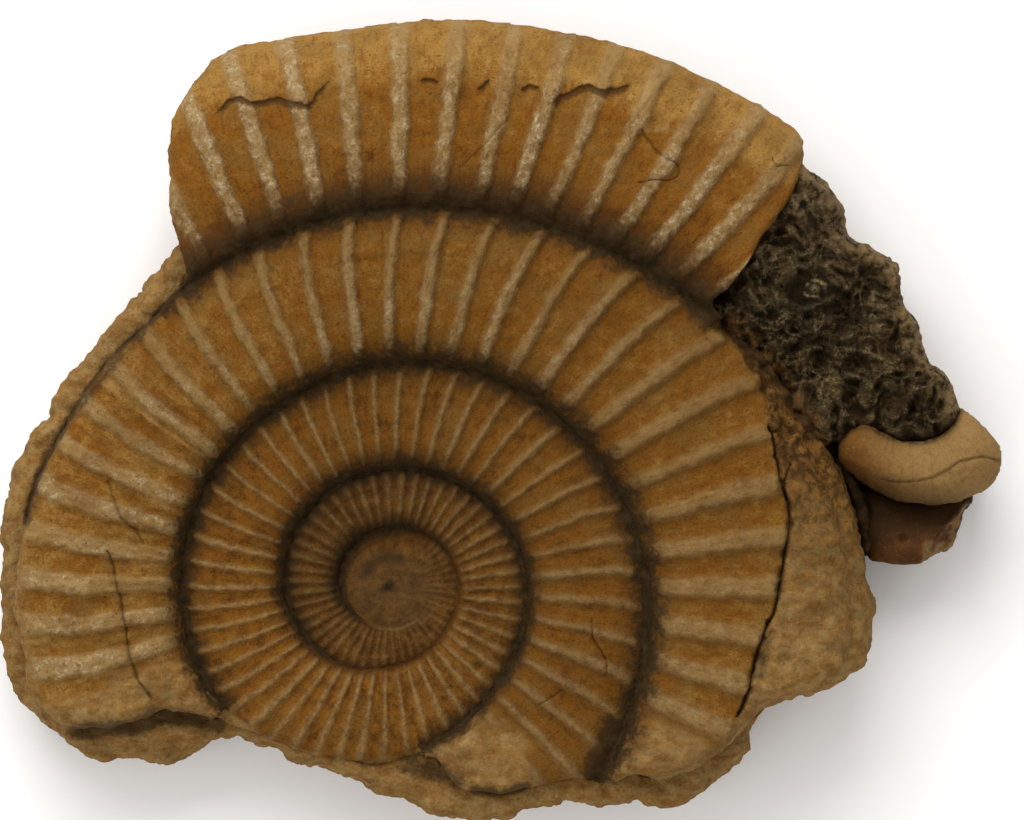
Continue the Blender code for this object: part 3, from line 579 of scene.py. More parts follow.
def lattice(rim, spacing_at):
    """Places inside a rim on a staggered, slightly irregular lattice."""
    low, high = rim.points.min(axis=0), rim.points.max(axis=0)
    made = []
    for spacing, wanted in spacing_at:
        across = np.arange(low[0], high[0], spacing)
        up = np.arange(low[1], high[1], spacing * LATTICE_ROW)
        grid_x, grid_y = np.meshgrid(across, up)
        grid_x = grid_x + (np.arange(len(up)) % 2)[:, None] * spacing / 2
        plan = np.column_stack([grid_x.ravel(), grid_y.ravel()])
        spread = solid_points(*plan.T)
        shift = [bumps(spread, spacing * 0.9, LATTICE_SEED + k) for k in (0, 1)]
        plan = plan + LATTICE_SHAKE * spacing * np.column_stack(shift)
        made.append(plan[wanted(*plan.T)])
    return np.concatenate(made)


def everywhere(x, y):
    return np.full(x.shape, True)


class Fine:
    """A closed fine block: its vertices in millimetres, its triangles, and what each holds."""

    # The least room between placed points, and between the rim's rows and a line.
    MARGIN = 0.42
    LINE_MARGIN = 0.2
    LEAST_HEIGHT = 0.5
    # What delaunay_2d_cdt gives (the triangles inside), and how near it takes points as one.
    INSIDE = 1
    PLAN_NEARNESS = 1e-4
    BASE_NEARNESS = 1e-6

    def __init__(self, rim, height, spacing_at, lines=(), floor=0.0, rings=14,
                 steps=((0.5, 0.35), (1.0, 1.0)), fringe=0.0):
        self.floor = floor
        self.ring = list(range(len(rim.points)))
        plan, faces, upper = self.filled(rim, spacing_at, lines)
        found, distance = rim.nearest(plan)
        wobble = 1 + fringe * layers(solid_points(*plan.T), 4.0, 5, 2)
        left = 1 - np.clip(distance / (rim.radius[found] * wobble), 0, 1)
        fall = rim.drop[found] * (1 - np.sqrt(1 - left ** 2))
        z = np.maximum(height(*plan.T) - fall, floor + self.LEAST_HEIGHT)
        verts, triangles = [np.column_stack([plan, z])], [wound(faces, plan, 1)]
        down, rough = [np.zeros(len(plan))], [np.zeros(len(plan))]
        count, ring_ids = len(plan), upper
        following = np.roll(np.arange(len(upper)), -1)
        downs, parts = zip((0.0, 0.0), *steps)
        # The side: rings from the upper edge down to the floor.
        for step in range(1, rings + 1):
            way = step / rings
            moved = rim.points + rim.inward * (rim.undercut * np.interp(way, downs, parts))[:, None]
            lower = count + np.arange(len(upper))
            count += len(upper)
            verts.append(np.column_stack([moved, z[upper] + (floor - z[upper]) * way]))
            down.append(np.full(len(upper), way))
            rough.append(rim.rough)
            a, b, c, d = ring_ids, ring_ids[following], lower[following], lower
            triangles += [np.column_stack([a, b, c]), np.column_stack([a, c, d])]
            ring_ids = lower
        base = [Vector(point) for point in moved]
        found = delaunay_2d_cdt(base, [], [self.ring], self.INSIDE, self.BASE_NEARNESS)
        faces, origins = found[2:4]
        faces = np.array([olds[0] for olds in origins])[np.array(faces)]
        triangles.append(ring_ids[wound(faces, moved, -1)])
        self.verts, self.faces = np.concatenate(verts), np.concatenate(triangles)
        self.down, self.rough = np.concatenate(down), np.concatenate(rough)

    def filled(self, rim, spacing_at, lines):
        """The upper face's plan and triangles, and which of its points are the rim's."""
        placed, joined = rim.rows()
        first = rows = len(placed)
        placed = [placed]
        for line in lines:
            inside = is_inside(*line.T, rim.points)
            inside &= rim.nearest(line)[1] > Rim.ROWS[-1] + self.LINE_MARGIN
            number = first + np.cumsum(inside) - 1
            joined += [(number[k], number[k + 1]) for k in range(len(line) - 1)
                       if inside[k] and inside[k + 1]]
            placed.append(line[inside])
            first += int(inside.sum())
        placed = np.concatenate(placed)
        inner = lattice(rim, spacing_at)
        inner = inner[is_inside(*inner.T, rim.points)]
        inner = inner[rim.nearest(inner)[1] > Rim.ROWS[-1] + self.MARGIN]
        if len(placed) > rows:
            tree = tree_of(placed[rows:])
            off = np.array([tree.find((x, y, 0))[2] for x, y in inner])
            inner = inner[off > self.MARGIN]
        points = [Vector(point) for point in (*rim.points, *placed, *inner)]
        joined = [(int(a) + len(self.ring), int(b) + len(self.ring)) for a, b in joined]
        found = delaunay_2d_cdt(points, joined, [self.ring], self.INSIDE, self.PLAN_NEARNESS)
        plan, _, faces, origins = found[:4]
        renamed = {old: new for new, olds in enumerate(origins) for old in olds}
        plan = np.array([tuple(place) for place in plan])
        return plan, np.array(faces), np.array([renamed[index] for index in self.ring])

    def normals(self):
        corner = self.verts[self.faces]
        facing = np.cross(corner[:, 1] - corner[:, 0], corner[:, 2] - corner[:, 0])
        normal = np.zeros(self.verts.shape)
        for k, axis in itertools.product(range(3), repeat=2):
            normal[:, axis] += np.bincount(self.faces[:, k], facing[:, axis], len(normal))
        return normal / np.maximum(np.linalg.norm(normal, axis=1), 1e-9)[:, None]

    def push(self, amount):
        """Moves the surface outwards by an amount in millimetres, keeping the base flat."""
        self.verts = self.verts + self.normals() * np.where(self.down >= 1, 0, amount)[:, None]
        self.verts[:, 2] = np.maximum(self.verts[:, 2], self.floor)

    def build(self, name, masks, material):
        mesh = bpy.data.meshes.new(name)
        placed = self.verts * MM + np.array([POLE_X, POLE_Y, 0.0])
        mesh.from_pydata(placed.tolist(), [], self.faces.tolist())
        mesh.polygons.foreach_set("use_smooth", np.ones(len(mesh.polygons), bool))
        for key, values in masks.items():
            layer = mesh.attributes.new(key, "FLOAT", "POINT")
            layer.data.foreach_set("value", np.asarray(values, np.float32))
        mesh.validate()
        mesh.materials.append(material)
        piece = bpy.data.objects.new(name + "_fine", mesh)
        bpy.context.scene.collection.objects.link(piece)
        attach(piece, "root")
        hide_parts(name)


# ---- The fossil ------------------------------------------------------------------------------

# Cracks: line, half width and depth.
FINE_CRACKS = (
    (MAIN_CRACK, 0.8, 5.0),
    (((120, 36.5), (118, 32), (118.5, 27)), 0.5, 1.5),
    (((75.5, 137), (79.5, 131.5), (82.5, 128.5), (85.5, 127.5), (87, 125), (86.5, 123.5),
      (83.5, 122), (79.5, 122), (75, 121.5)), 0.4, 0.8),
    (((21, 125.5), (27, 131.5), (31.5, 136), (35.5, 140.5)), 0.3, 0.4),
    (((115, 128.5), (116, 126), (120, 126.5), (124, 126)), 0.35, 0.8),
    (((-84.5, 32), (-82.5, 26), (-80.5, 21.5), (-78, 18.5), (-76, 17), (-74, 13.5)), 0.6, 0.8),
    (((-84.5, 11), (-83, 6.5), (-81.5, 0.5), (-80.5, -5.5), (-79.5, -10.5), (-78.5, -16),
      (-77.5, -21.5), (-75.5, -27.5), (-73, -31), (-70.5, -34), (-71, -37)), 0.55, 1.2),
    (((60.5, -10), (61, -15.5), (63.5, -19), (65, -22.5), (65, -25.5)), 0.4, 0.9),
    (((45, -35), (48.5, -33.5), (51.5, -31.5)), 0.35, 0.6),
    (((18, -63.5), (24, -65)), 0.4, 0.8),
)
# The edge of a thin outer layer on the outermost whorl, which stands a little proud.
LEDGE_LINES = (
    ((-54.5, 140), (-51.5, 143), (-49, 146), (-45.5, 147), (-42, 146), (-38.5, 145.5),
     (-33, 146.5), (-28.5, 145.5), (-24.5, 144.5), (-21.5, 148.5), (-19, 151.5), (-16, 152.5)),
    ((9, 152), (12, 152.5), (15, 151.5)),
    ((25.5, 149.5), (28, 151), (30.5, 152)),
    ((38.5, 149.5), (42, 150.5), (45.5, 149.5)),
    ((46.5, 144.5), (50.5, 146.5), (54.5, 148.5), (59, 150.5), (65, 149), (70, 150),
     (74, 150.5)),
)
LEDGE_STEP = 0.8
LEDGE_REACH = 9.0
LEDGE_ENDS = 0.15
# The narrow gap between the fossil and its bank of stone on the left, darkened with painted shade.
BANK_CREVICE = BANK_CONTACT[8:]
# Where the ribbed flank ends on the right and the rough flange begins.
FLANGE_LINE = ((94, 86), (97.5, 80.5), (103.5, 72.5), (108.5, 63.5), (112.5, 54.5)) + MAIN_CRACK

# How closely the seams, cracks and ledges are followed by the mesh.
LINE_STEP = 0.75

# The cracks and ledges as ragged lines of closely spaced points.
CRACK_SHAPES = [
    (ragged(line, 0.7, 0.3, 3.0, 90 + 7 * number), half_width, depth)
    for number, (line, half_width, depth) in enumerate(FINE_CRACKS)
]
LEDGE_SHAPES = [ragged(line, 0.7, 0.5, 3.0, 300 + 7 * number)
                for number, line in enumerate(LEDGE_LINES)]

# How the ribs look along the coil: width at the inner and outer end in parts of their spacing,
# how softly their sides end, and how much pale calcite they carry.
LOOK_TURNS = (-450, -214, 0, 135, 200, 330, 410, 520, 560, 610, 660, 690, 720, 768, 950, 1046)
INNER_WIDTHS = (
    0.56, 0.58, 0.54, 0.44, 0.32, 0.32, 0.42, 0.46, 0.42, 0.34, 0.35, 0.42, 0.48, 0.50, 0.35, 0.36,
)
OUTER_WIDTHS = (
    0.56, 0.56, 0.50, 0.38, 0.22, 0.24, 0.36, 0.48, 0.42, 0.22, 0.19, 0.28, 0.40, 0.48, 0.31, 0.33,
)
SIDE_WIDTHS = (
    0.16, 0.16, 0.15, 0.13, 0.10, 0.11, 0.12, 0.07, 0.06, 0.05, 0.06, 0.10, 0.11, 0.11, 0.06, 0.06,
)
PALE_AMOUNTS = (
    0.0, 0.05, 0.1, 0.15, 0.2, 0.15, 0.2, 0.6, 0.6, 0.8, 0.5, 0.1, 0.2, 0.4, 0.95, 0.95,
)
CREST_AMOUNTS = (
    0.0, 0.5, 0.8, 0.9, 1.0, 1.0, 0.8, 0.3, 0.2, 0.3, 0.3, 0.4, 0.3, 0.2, 0.0, 0.0,
)
RIB_STRENGTH = 1.3
# The turns over which the first ribs rise out of the smooth middle.
RIBS_BEGIN = (-440, -395)
# How uneven the ribs are: along their lines, from rib to rib, and in places.
RIB_WAVER = 0.035
RIB_WIDTHS_UNLIKE = 0.1
RIB_HEIGHTS_UNLIKE = 0.2
RIB_WIDTH_UNEVEN = 0.12
# How much of the ribs is gone where the fossil is worn to bare rock.
RIB_WORN = 0.85
# How far dirt fills the seams, and how wide the dark band of dirt and painted shade lies on the whorl
# outside and inside of each.
FILL_TURNS = (-700, -420, -270, -180, -40, 100, 200, 440, 800, 1046)
FILL_PARTS = (0.9, 0.9, 0.95, 0.87, 0.92, 0.9, 0.8, 0.72, 0.6, 0.55)
FILL_SOFTNESS = (0.8, 0.8, 0.8, 0.9, 1.2, 1.3, 1.4, 1.8, 2.4, 2.8)
DIRT_SHADE_TURNS = (-700, -450, -360, -270, -180, -90, 0, 90, 180, 300, 440, 600, 768, 950, 1046)
DIRT_SHADE_OUTSIDE = (0.1, 0.1, 0.1, 0.1, 3.0, 2.8, 1.9, 2.3, 2.9, 2.7, 2.8, 3.1, 4.4, 5.2, 6.2)
DIRT_SHADE_INSIDE = (0.1, 0.1, 0.1, 0.1, 2.2, 2.4, 1.7, 2.0, 2.5, 2.5, 2.5, 2.6, 3.2, 3.0, 3.0)
# How much less dirt and painted shade there is where the innermost seams are nearly worn away.
FAINT_TURNS = (-140, -60, -20, 60, 100, 150)
FAINT_AMOUNTS = (0.0, 0.6, 1.5, 1.5, 1.2, 0.0)
# How much darker the whorls are along the coil.
DIM_TURNS = (-450, -180, -90, 0, 60, 180, 225, 270, 360, 440, 503, 560, 620, 680, 720, 768, 950)
DIM_AMOUNTS = (
    0.25, 0.3, 0.38, 0.18, 0.0, 0.0, 0.15, 0.26, 0.26, 0.15, 0.0, 0.05, 0.2, 0.2, 0.12, 0.1, 0.0,
)
# How light the grooves are along the coil, up to its last stretch.
TONE_TURNS = (-500, -300, 0, 200, 420, 503, 560, 640, 768)
TONE_AMOUNTS = (0.18, 0.18, 0.26, 0.36, 0.48, 0.74, 0.66, 0.56, 0.58)
# The coil's smooth middle, and a dark dot on it: its place, the way it runs and its half sizes.
NUCLEUS_HEIGHT = 31.4
NUCLEUS_EDGE = (5.0, 14.0)
NUCLEUS_SMOOTHNESS = 0.88
DOT_PLACE = (-0.6, 0.2)
DOT_WAY = (0.77, 0.64)
DOT_SIZES = (2.4, 1.5)
# The dark arc above the coil's centre and the light one below: radius, first and last direction.
DARK_ARC = (8.5, 40.0, 180.0)
LIGHT_ARC = (12.9, 195.0, 330.0)
ARC_FADE = 35
DARK_ARC_DEPTH = 0.5
LIGHT_ARC_HEIGHT = 0.1
WRINKLE_HEIGHT = 0.7
# The bare rock on the right is rough above this line and smoother below it.
ROUGH_FROM = 44
# Painted shadows on the rock, under overhangs and along contacts: line along them, reach to each side
# and strength.
PAINTED_SHADOWS = (
    (((5, -54), (13, -55), (20, -58)), 4.5, 0.8),
    (((67, -42), (64, -48), (62, -54)), 4.2, 1.0),
    (((67, -57), (76, -57.5), (84, -56), (92, -52.5), (98, -48)), 2.0, 0.4),
    (((25, -61), (33, -62.5), (41, -60)), 2.0, 0.9),
    (((-95, -44), (-84, -43), (-76, -42), (-69, -39), (-60, -40), (-52, -42)), 3.2, 1.0),
    (((-68, 84), (-76, 75), (-84, 66), (-91, 57), (-98, 48)), 2.6, 0.7),
    (((-98, 48), (-103, 40), (-107, 30), (-109, 20)), 2.4, 0.8),
    (((96, 84), (103, 77), (108, 72), (114, 66), (119, 59), (123, 53), (128, 47)), 4.0, 0.9),
    (((110, 64), (116, 52), (121, 44)), 3.0, 0.3),
    (((113, -14), (112, -20), (111, -26)), 3.0, 0.6),
)


def painted_shadow_mask(x, y):
    """How dark the painted shadow on the rock is at each place."""
    dark = np.zeros(x.shape)
    for line, reach, strength in PAINTED_SHADOWS:
        dark = np.maximum(dark, strength * near_line(x, y, line, reach))
    return dark


def arc_mask(x, y, arc, half_width):
    """1 on an arc around the pole, fading to 0 off it and at its ends."""
    radius, first, last = arc
    direction = np.degrees(np.arctan2(y, x)) % 360
    ends = smooth_step(first, first + ARC_FADE, direction)
    ends *= smooth_step(last, last - ARC_FADE, direction)
    return ends * np.exp(-((np.hypot(x, y) - radius) / half_width) ** 2)


def crack_part(x, y, line, half_width, spread=1.0):
    """1 at the middle of a crack, fading to 0 at its uneven sides and towards its ends."""
    off, _, along = line_place(x, y, line, 4.0)
    ends = smooth_step(0, 0.07, along) * smooth_step(1, 0.93, along)
    uneven = 1 + 0.55 * bumps(solid_points(x, y), 2.6, 410)
    return np.clip(1 - off / (spread * half_width * uneven * (0.25 + 0.75 * ends)), 0, 1)


def wrinkled(x, y, state):
    """Wrinkles that run along the ribs where the whorl is crumpled, between -1 and 1."""
    turn, share, width = state["turn"], state["share"], state["width"]
    arc = np.radians(turn) * 95
    spread = solid_points(arc, share * width * 0.3, 0.12 * y)
    zone = smooth_step(500, 512, turn) * smooth_step(612, 575, turn)
    edge = share + 0.1 * bumps(solid_points(x, y), 9.0, 449)
    zone = zone + 1.5 * smooth_step(985, 1005, turn) * smooth_step(0.5, 0.72, edge)
    return zone * (0.6 * layers(spread, 3.0, 440, 2) + 0.8 * (ridges(spread, 5.0, 445, 2) - 0.5))


def covered_beyond(turn):
    """Whether a later whorl still lies against the outside of the whorl at this turn."""
    return is_left(turn + 360)


def coil_state(x, y):
    """Where each place lies on the coil, and what it shows there."""
    turn, share, width = whorl_at(x, y)
    spread = solid_points(x, y)
    count = rib_count(turn - rib_lean(turn, share)) + RIB_WAVER * bumps(spread, 3.0, 400)
    number = np.round(count)
    off_crest = np.abs(count - number)
    unlike = hashed(np.column_stack([number, number * 0, number * 0]).astype(np.int64), 9)
    half = np.interp(turn, LOOK_TURNS, INNER_WIDTHS)
    half += (np.interp(turn, LOOK_TURNS, OUTER_WIDTHS) - half) * np.clip(share, 0, 1)
    half = half / 2 * (1 + RIB_WIDTHS_UNLIKE * unlike + RIB_WIDTH_UNEVEN * bumps(spread, 7.0, 403))
    soft = np.interp(turn, LOOK_TURNS, SIDE_WIDTHS)
    rib = 1 - smooth_step(half - soft, half + soft, off_crest)
    crest = 1 - smooth_step(0.02, 0.09 + 0.03 * unlike, np.abs(off_crest - 0.02))
    covered = covered_beyond(turn)
    begun = smooth_step(*RIBS_BEGIN, turn)
    ends = smooth_step(0.0, 0.1, share) * begun
    ends *= np.where(covered, 1 - smooth_step(0.9, 1.01, share), 1)
    flange, side, _ = line_place(x, y, FLANGE_LINE)
    beyond = smooth_step(-1.0, 1.0, side * flange + bumps(spread, 4.0, 401))
    beyond *= (x > 90) & (turn < 800)
    wander = 5 * bumps(spread, 9.0, 402)
    bare = np.maximum.reduce([
        beyond,
        smooth_step(408, 418, turn + wander) * (turn < 445),
        smooth_step(744, 754, turn + wander) * (turn < 770),
        (1 - smooth_step(515, 523, turn + wander)) * (turn > 500) * (turn < 530),
        np.where(covered | (turn >= LAST_STRETCH), 0,
                 smooth_step(0.97, 1.03, share + 0.02 * bumps(spread, 3.0, 404))),
    ])
    rib_height = np.interp(turn, RIB_HEIGHT_TURNS, RIB_HEIGHTS) * (1 + RIB_HEIGHTS_UNLIKE * unlike)
    return {
        "turn": turn, "share": share, "width": width, "rib": rib * ends, "bare": bare,
        "knuckle": rib * begun,
        "crest": crest * ends, "beyond": beyond, "covered": covered, "unlike": unlike,
        "relief": rib * ends * rib_height * RIB_STRENGTH * (1 - RIB_WORN * bare),
    }


def ledge_place(x, y, line):
    """Distance to a ledge's edge, the side of it, and how much of its step is there."""
    off, side, along = line_place(x, y, line, 30.0)
    step = smooth_step(0, LEDGE_ENDS, along) * smooth_step(0, LEDGE_ENDS, 1 - along)
    return off, side, step


def filled_section(turn, share):
    """The whorl's section, with the bottom of its seams filled by hardened dirt."""
    height = whorl_section(turn, share)
    covered = covered_beyond(turn)
    for later, beside in ((0, share < 0.3), (360, (share > 0.7) & covered & (share < 1.02))):
        low = seam_height(turn + later)
        part = np.interp(turn + later, FILL_TURNS, FILL_PARTS)
        soft = np.interp(turn + later, FILL_TURNS, FILL_SOFTNESS)
        level = low + part * (crest_height(turn + later - 360) - low)
        raised = (height + level + np.hypot(height - level, soft)) / 2
        height = np.where(beside, raised, height)
    return height


def coil_surface(x, y):
    """Height of the fossil's upper face at places in plan."""
    state = coil_state(x, y)
    turn, share = state["turn"], state["share"]
    height = filled_section(turn, share) + state["relief"]
    height -= BEYOND_EDGE_SLOPE * state["width"] * np.maximum(share - 1, 0)
    height -= np.interp(turn, WEAR_TURNS, WEAR_DEPTHS) * smooth_step(0, 0.3, share)
    height += lump_relief(x, y, COIL_LUMPS)
    smooth = NUCLEUS_SMOOTHNESS * (1 - smooth_step(*NUCLEUS_EDGE, np.hypot(x, y)))
    height += (NUCLEUS_HEIGHT - height) * smooth
    height -= DARK_ARC_DEPTH * arc_mask(x, y, DARK_ARC, 1.6)
    height += LIGHT_ARC_HEIGHT * arc_mask(x, y, LIGHT_ARC, 0.5)
    height += WRINKLE_HEIGHT * wrinkled(x, y, state)
    spread = solid_points(x, y)
    height += state["beyond"] * (y > ROUGH_FROM) * (2.6 * layers(spread, 3.6, 405, 4) - 0.6)
    height += state["beyond"] * (y <= ROUGH_FROM) * 0.7 * layers(spread, 5.0, 409, 3)
    for line, half_width, depth in CRACK_SHAPES:
        height -= depth * crack_part(x, y, line, half_width)
    for line in LEDGE_SHAPES:
        off, side, step = ledge_place(x, y, line)
        height += LEDGE_STEP * step * np.where(side > 0, np.exp(-off / LEDGE_REACH), 0)
    return height


def coil_masks(verts, down):
    """What covers the fossil at each vertex, for its material."""
    x, y = verts[:, 0], verts[:, 1]
    state = coil_state(x, y)
    turn, share, width = state["turn"], state["share"], state["width"]
    # Dirt and painted shade along the seams, in parts of its usual reach; the band is painted wider
    # on the upper side of the coil, where shade falls.
    up = y / np.maximum(np.hypot(x, y), 1)
    reach = np.interp(turn, DIRT_SHADE_TURNS, DIRT_SHADE_OUTSIDE) * (0.85 + 0.2 * up)
    inner = np.maximum(share, 0) * width / reach + np.interp(turn, FAINT_TURNS, FAINT_AMOUNTS)
    reach = np.interp(turn + 360, DIRT_SHADE_TURNS, DIRT_SHADE_INSIDE)
    outer = np.where(state["covered"], np.abs(1 - share) * width / reach, 9.0)
    outer += np.interp(turn + 360, FAINT_TURNS, FAINT_AMOUNTS)
    outer += 0.7 * state["knuckle"] * smooth_step(0.0, 0.5, outer)
    crack = np.zeros(len(x))
    for line, half_width, depth in CRACK_SHAPES:
        dark = min(1.0, 0.35 + 0.2 * depth)
        crack = np.maximum(crack, dark * crack_part(x, y, line, half_width, 1.25))
    shadow = np.zeros(len(x))
    for line in LEDGE_SHAPES:
        off, side, step = ledge_place(x, y, line)
        reach = 2.1 + 1.2 * bumps(verts, 6.0, 407)
        shade = np.where(side < 0, np.clip(1.3 - off / reach, 0, 1), np.clip(1 - off / 0.4, 0, 1))
        shadow = np.maximum(shadow, step * shade)
    last = turn >= LAST_STRETCH
    tone = np.interp(turn, TONE_TURNS, TONE_AMOUNTS)
    outside = smooth_step(0.62, 0.82, share + 0.03 * bumps(verts, 8.0, 406))
    tone = np.where(last, 0.12 + 0.38 * smooth_step(0.03, 0.42, share) + 0.4 * outside, tone)
    arc_turns = np.arange(FIRST_TURN, 1100, 5.0)
    middle = (seam_radius(arc_turns) + outer_radius(arc_turns)) / 2
    arc = np.interp(turn, arc_turns, np.cumsum(middle * math.radians(5)))
    pale = np.interp(turn, LOOK_TURNS, PALE_AMOUNTS) * (0.8 + 0.3 * state["unlike"])
    pale *= np.where(last, smooth_step(0.06, 0.2, share), 1)
    broken = smooth_step(700, 560, turn) * (turn > 500)
    pale *= 1 - 0.8 * broken * smooth_step(0.0, 0.5, bumps(verts, 8.0, 408))
    top = smooth_step(560, 590, turn) * smooth_step(705, 690, turn)
    pale *= 1 - 0.75 * top * smooth_step(0.45, 0.75, share + 0.1 * bumps(verts, 7.0, 411))
    outer_part = smooth_step(0.5, 0.8, share + 0.15 * bumps(verts, 9.0, 413))
    pale *= 1 - 0.6 * (smooth_step(978, 1000, turn) * outer_part)
    radius = np.hypot(x, y)
    right, up = x - DOT_PLACE[0], y - DOT_PLACE[1]
    along, off = DOT_WAY[0] * right + DOT_WAY[1] * up, DOT_WAY[0] * up - DOT_WAY[1] * right
    return {
        "dot": smooth_step(1.5, 0.4, np.hypot(along / DOT_SIZES[0], off / DOT_SIZES[1])),
        "core": 1 - smooth_step(9.0, 17.0, radius + 1.5 * bumps(verts, 6.0, 412)),
        "arcs": arc_mask(x, y, DARK_ARC, 2.0) - arc_mask(x, y, LIGHT_ARC, 0.6),
        "dim": np.interp(turn, DIM_TURNS, DIM_AMOUNTS),
        "wrinkle": wrinkled(x, y, state),
        # Painted shadow on the rock, a little fainter down the sides.
        "painted_shadow": painted_shadow_mask(x, y) * (1 - 0.6 * smooth_step(0.5, 2.5, down)),
        # Painted shade on the outermost whorl where it meets its inner seam.
        "foot_shade": last * (1 - smooth_step(0.05, 0.3, share)),
        "rib": state["rib"] * (1 - state["bare"]),
        "crest": state["crest"] * (1 - state["bare"]) * np.interp(turn, LOOK_TURNS, CREST_AMOUNTS),
        "pale": pale,
        "seam_dirt_and_shade": np.minimum(np.minimum(inner, outer), 4) + 4 * (1 - smooth_step(11, 14, radius)),
        "crack": crack, "shadow": shadow, "bare": state["bare"], "tone": tone,
        "rust": state["beyond"] * smooth_step(-25, 50, y),
        # Painted shade in the gap by the bank of stone.
        "crevice_shade": closeness(x, y, BANK_CREVICE, 1.8),
        "side": smooth_step(0.0, 0.1, down), "arc": arc, "across": share * width,
    }


def seam_lines():
    lines = []
    for start, end in STRETCHES:
        turns = np.arange(max(start, -700), end, 0.5)
        for share in (0.0, 0.008):
            lines.append(in_steps(np.column_stack(plan_point(turns, share)), LINE_STEP))
    return lines


def crack_lines():
    lines = []
    for line, half_width, _ in CRACK_SHAPES:
        for side in (-1, 0, 1):
            lines.append(in_steps(offset_line(line, side * half_width), LINE_STEP))
    for line in LEDGE_SHAPES:
        for side in (-0.12, 0.12):
            lines.append(in_steps(offset_line(line, side), LINE_STEP))
    return lines


def venter_line():
    """The outermost whorl's outer edge."""
    turns = np.arange(VENTER_SPAN[0], VENTER_SPAN[1], 0.4)
    x, y = plan_point(turns, 1)
    return list(zip(x.tolist(), y.tolist()))


# The fossil's mesh is finest this near to the pole.
FINEST_RADIUS = 38


def make_ammonite():
    rim = Rim([
        (LEFT_BREAK, 5.0, 5.0, 3.0, 1.0),
        (venter_line(), 0.0, 1.0, 8.0, 1.2),
        (RIGHT_BREAK[:2], 4.0, 4.0, 4.0, 0.8),
        (RIGHT_BREAK[2:], 2.0, 2.0, 0.0, 0.6),
        (WALL_CONTACT, 1.5, 1.5, 0.0, 0.4),
        (FLANGE_CLEFT, 6.0, 4.0, 1.0, 0.7),
        (FLANGE_EDGE, 9.0, 6.0, 3.0, 1.0),
        (BOTTOM_CONTACT, 3.0, 4.0, 0.0, 0.4),
        (LEDGE_CONTACT, 6.0, 5.0, 0.0, 0.5),
        (BANK_CONTACT[:6], 1.5, 3.0, 0.0, 0.4),
        (BANK_CONTACT[6:], 1.2, 2.5, 0.0, 0.4),
    ], 0.9)
    spacing_at = (
        (0.52, lambda x, y: np.hypot(x, y) < FINEST_RADIUS),
        (0.89, lambda x, y: np.hypot(x, y) >= FINEST_RADIUS),
    )
    block = Fine(rim, coil_surface, spacing_at, seam_lines() + crack_lines(),
                 BLOCK_FLOOR, 16, fringe=0.25)
    masks = coil_masks(block.verts, block.down)
    worn = np.where(block.down > 0, block.rough, 0)
    dirty = 1 - smooth_step(0.5, 1.6, masks["seam_dirt_and_shade"])
    dirty *= smooth_step(8.0, 16.0, np.hypot(block.verts[:, 0], block.verts[:, 1]))
    swell = 0.12 * layers(block.verts, 2.5, 21) + 0.2 * layers(block.verts, 12.0, 31, 2)
    swell += masks["bare"] * (0.75 * layers(block.verts, 7.0, 25, 4))
    swell += 0.14 * masks["rib"] * layers(block.verts, 2.2, 28, 2)
    swell += 0.2 * dirty * layers(block.verts, 2.4, 35, 2)
    block.push(swell + worn * layers(block.verts, 5.0, 41, 4))
    block.build("ammonite", masks, ammonite_paint())


# ---- The stone -------------------------------------------------------------------------------

# The cleft between the flange and the folds.
CLEFT_LINE = ((131, 44), (133.5, 39), (137.5, 33), (141.5, 26), (143.5, 18), (144.5, 11))
CLEFT_HEIGHT = 27.0
# Where the bank of stone ends under the outermost whorl.
BANK_END = ((-60, 106), (-54, 97))
# A place under the flange, as far as which the rock along the bottom goes on.
UNDER_FLANGE = (114, -32)


def stone_surface(x, y):
    outside = offset_line(BOTTOM_OUTSIDE + BANK_OUTSIDE, 3.0)
    under = offset_line(CONTACT, -3.0)
    raised = np.array(outside + list(BANK_END) + under[::-1] + [UNDER_FLANGE])
    inside = is_inside(x, y, raised)
    off = distance_to(x, y, under)
    beyond = np.where(inside, off, -off)
    covered, side, _ = line_place(x, y, CONTACT)
    height = level_height(x, y, STONE_LEVELS) - 1.2 * np.where(side < 0, covered, 0)
    height -= 0.4 * near_line(x, y, BANK_CREVICE, 1.5)
    height = SLAB_HEIGHT + (height - SLAB_HEIGHT) * smooth_step(-0.5, 0.5, beyond)
    return height + (CLEFT_HEIGHT - SLAB_HEIGHT) * closeness(x, y, CLEFT_LINE, 5.0, core=1.0)


def make_matrix_stone():
    rim = Rim([
        (BOTTOM_OUTSIDE + BANK_OUTSIDE, STONE_DROP, STONE_ROUNDING, STONE_UNDERCUT, 1.0),
        (SLAB_TOP + SLAB_RIGHT, 0.3, 0.8, SLAB_UNDERCUT, 1.0),
    ], 1.0)

    def near_rock(x, y):
        return (distance_to(x, y, CONTACT) < 16) | (distance_to(x, y, CLEFT_LINE) < 6)

    spacing_at = (
        (0.85, near_rock),
        (4.0, lambda x, y: ~near_rock(x, y)),
    )
    block = Fine(rim, stone_surface, spacing_at, (), 0.0, 22, STONE_WALL_STEPS, 0.3)
    block.push(1.2 * layers(block.verts, 7.0, 51, 4, 0.6))
    x, y, z = block.verts.T
    cleft = closeness(x, y, CLEFT_LINE, 8.0, core=3.0)
    masks = {
        # The low floor between the pieces and the cleft, painted dark as shade.
        "deep": np.maximum((z < SLAB_HEIGHT + 4) * (block.down == 0), cleft),
        # Painted shade in the gap by the bank of stone.
        "crevice_shade": closeness(x, y, BANK_CREVICE, 2.4),
        # Painted shadow on the stone.
        "painted_shadow": painted_shadow_mask(x, y),
    }
    block.build("matrix_stone", masks, stone_paint())


# ---- The dark wall ---------------------------------------------------------------------------

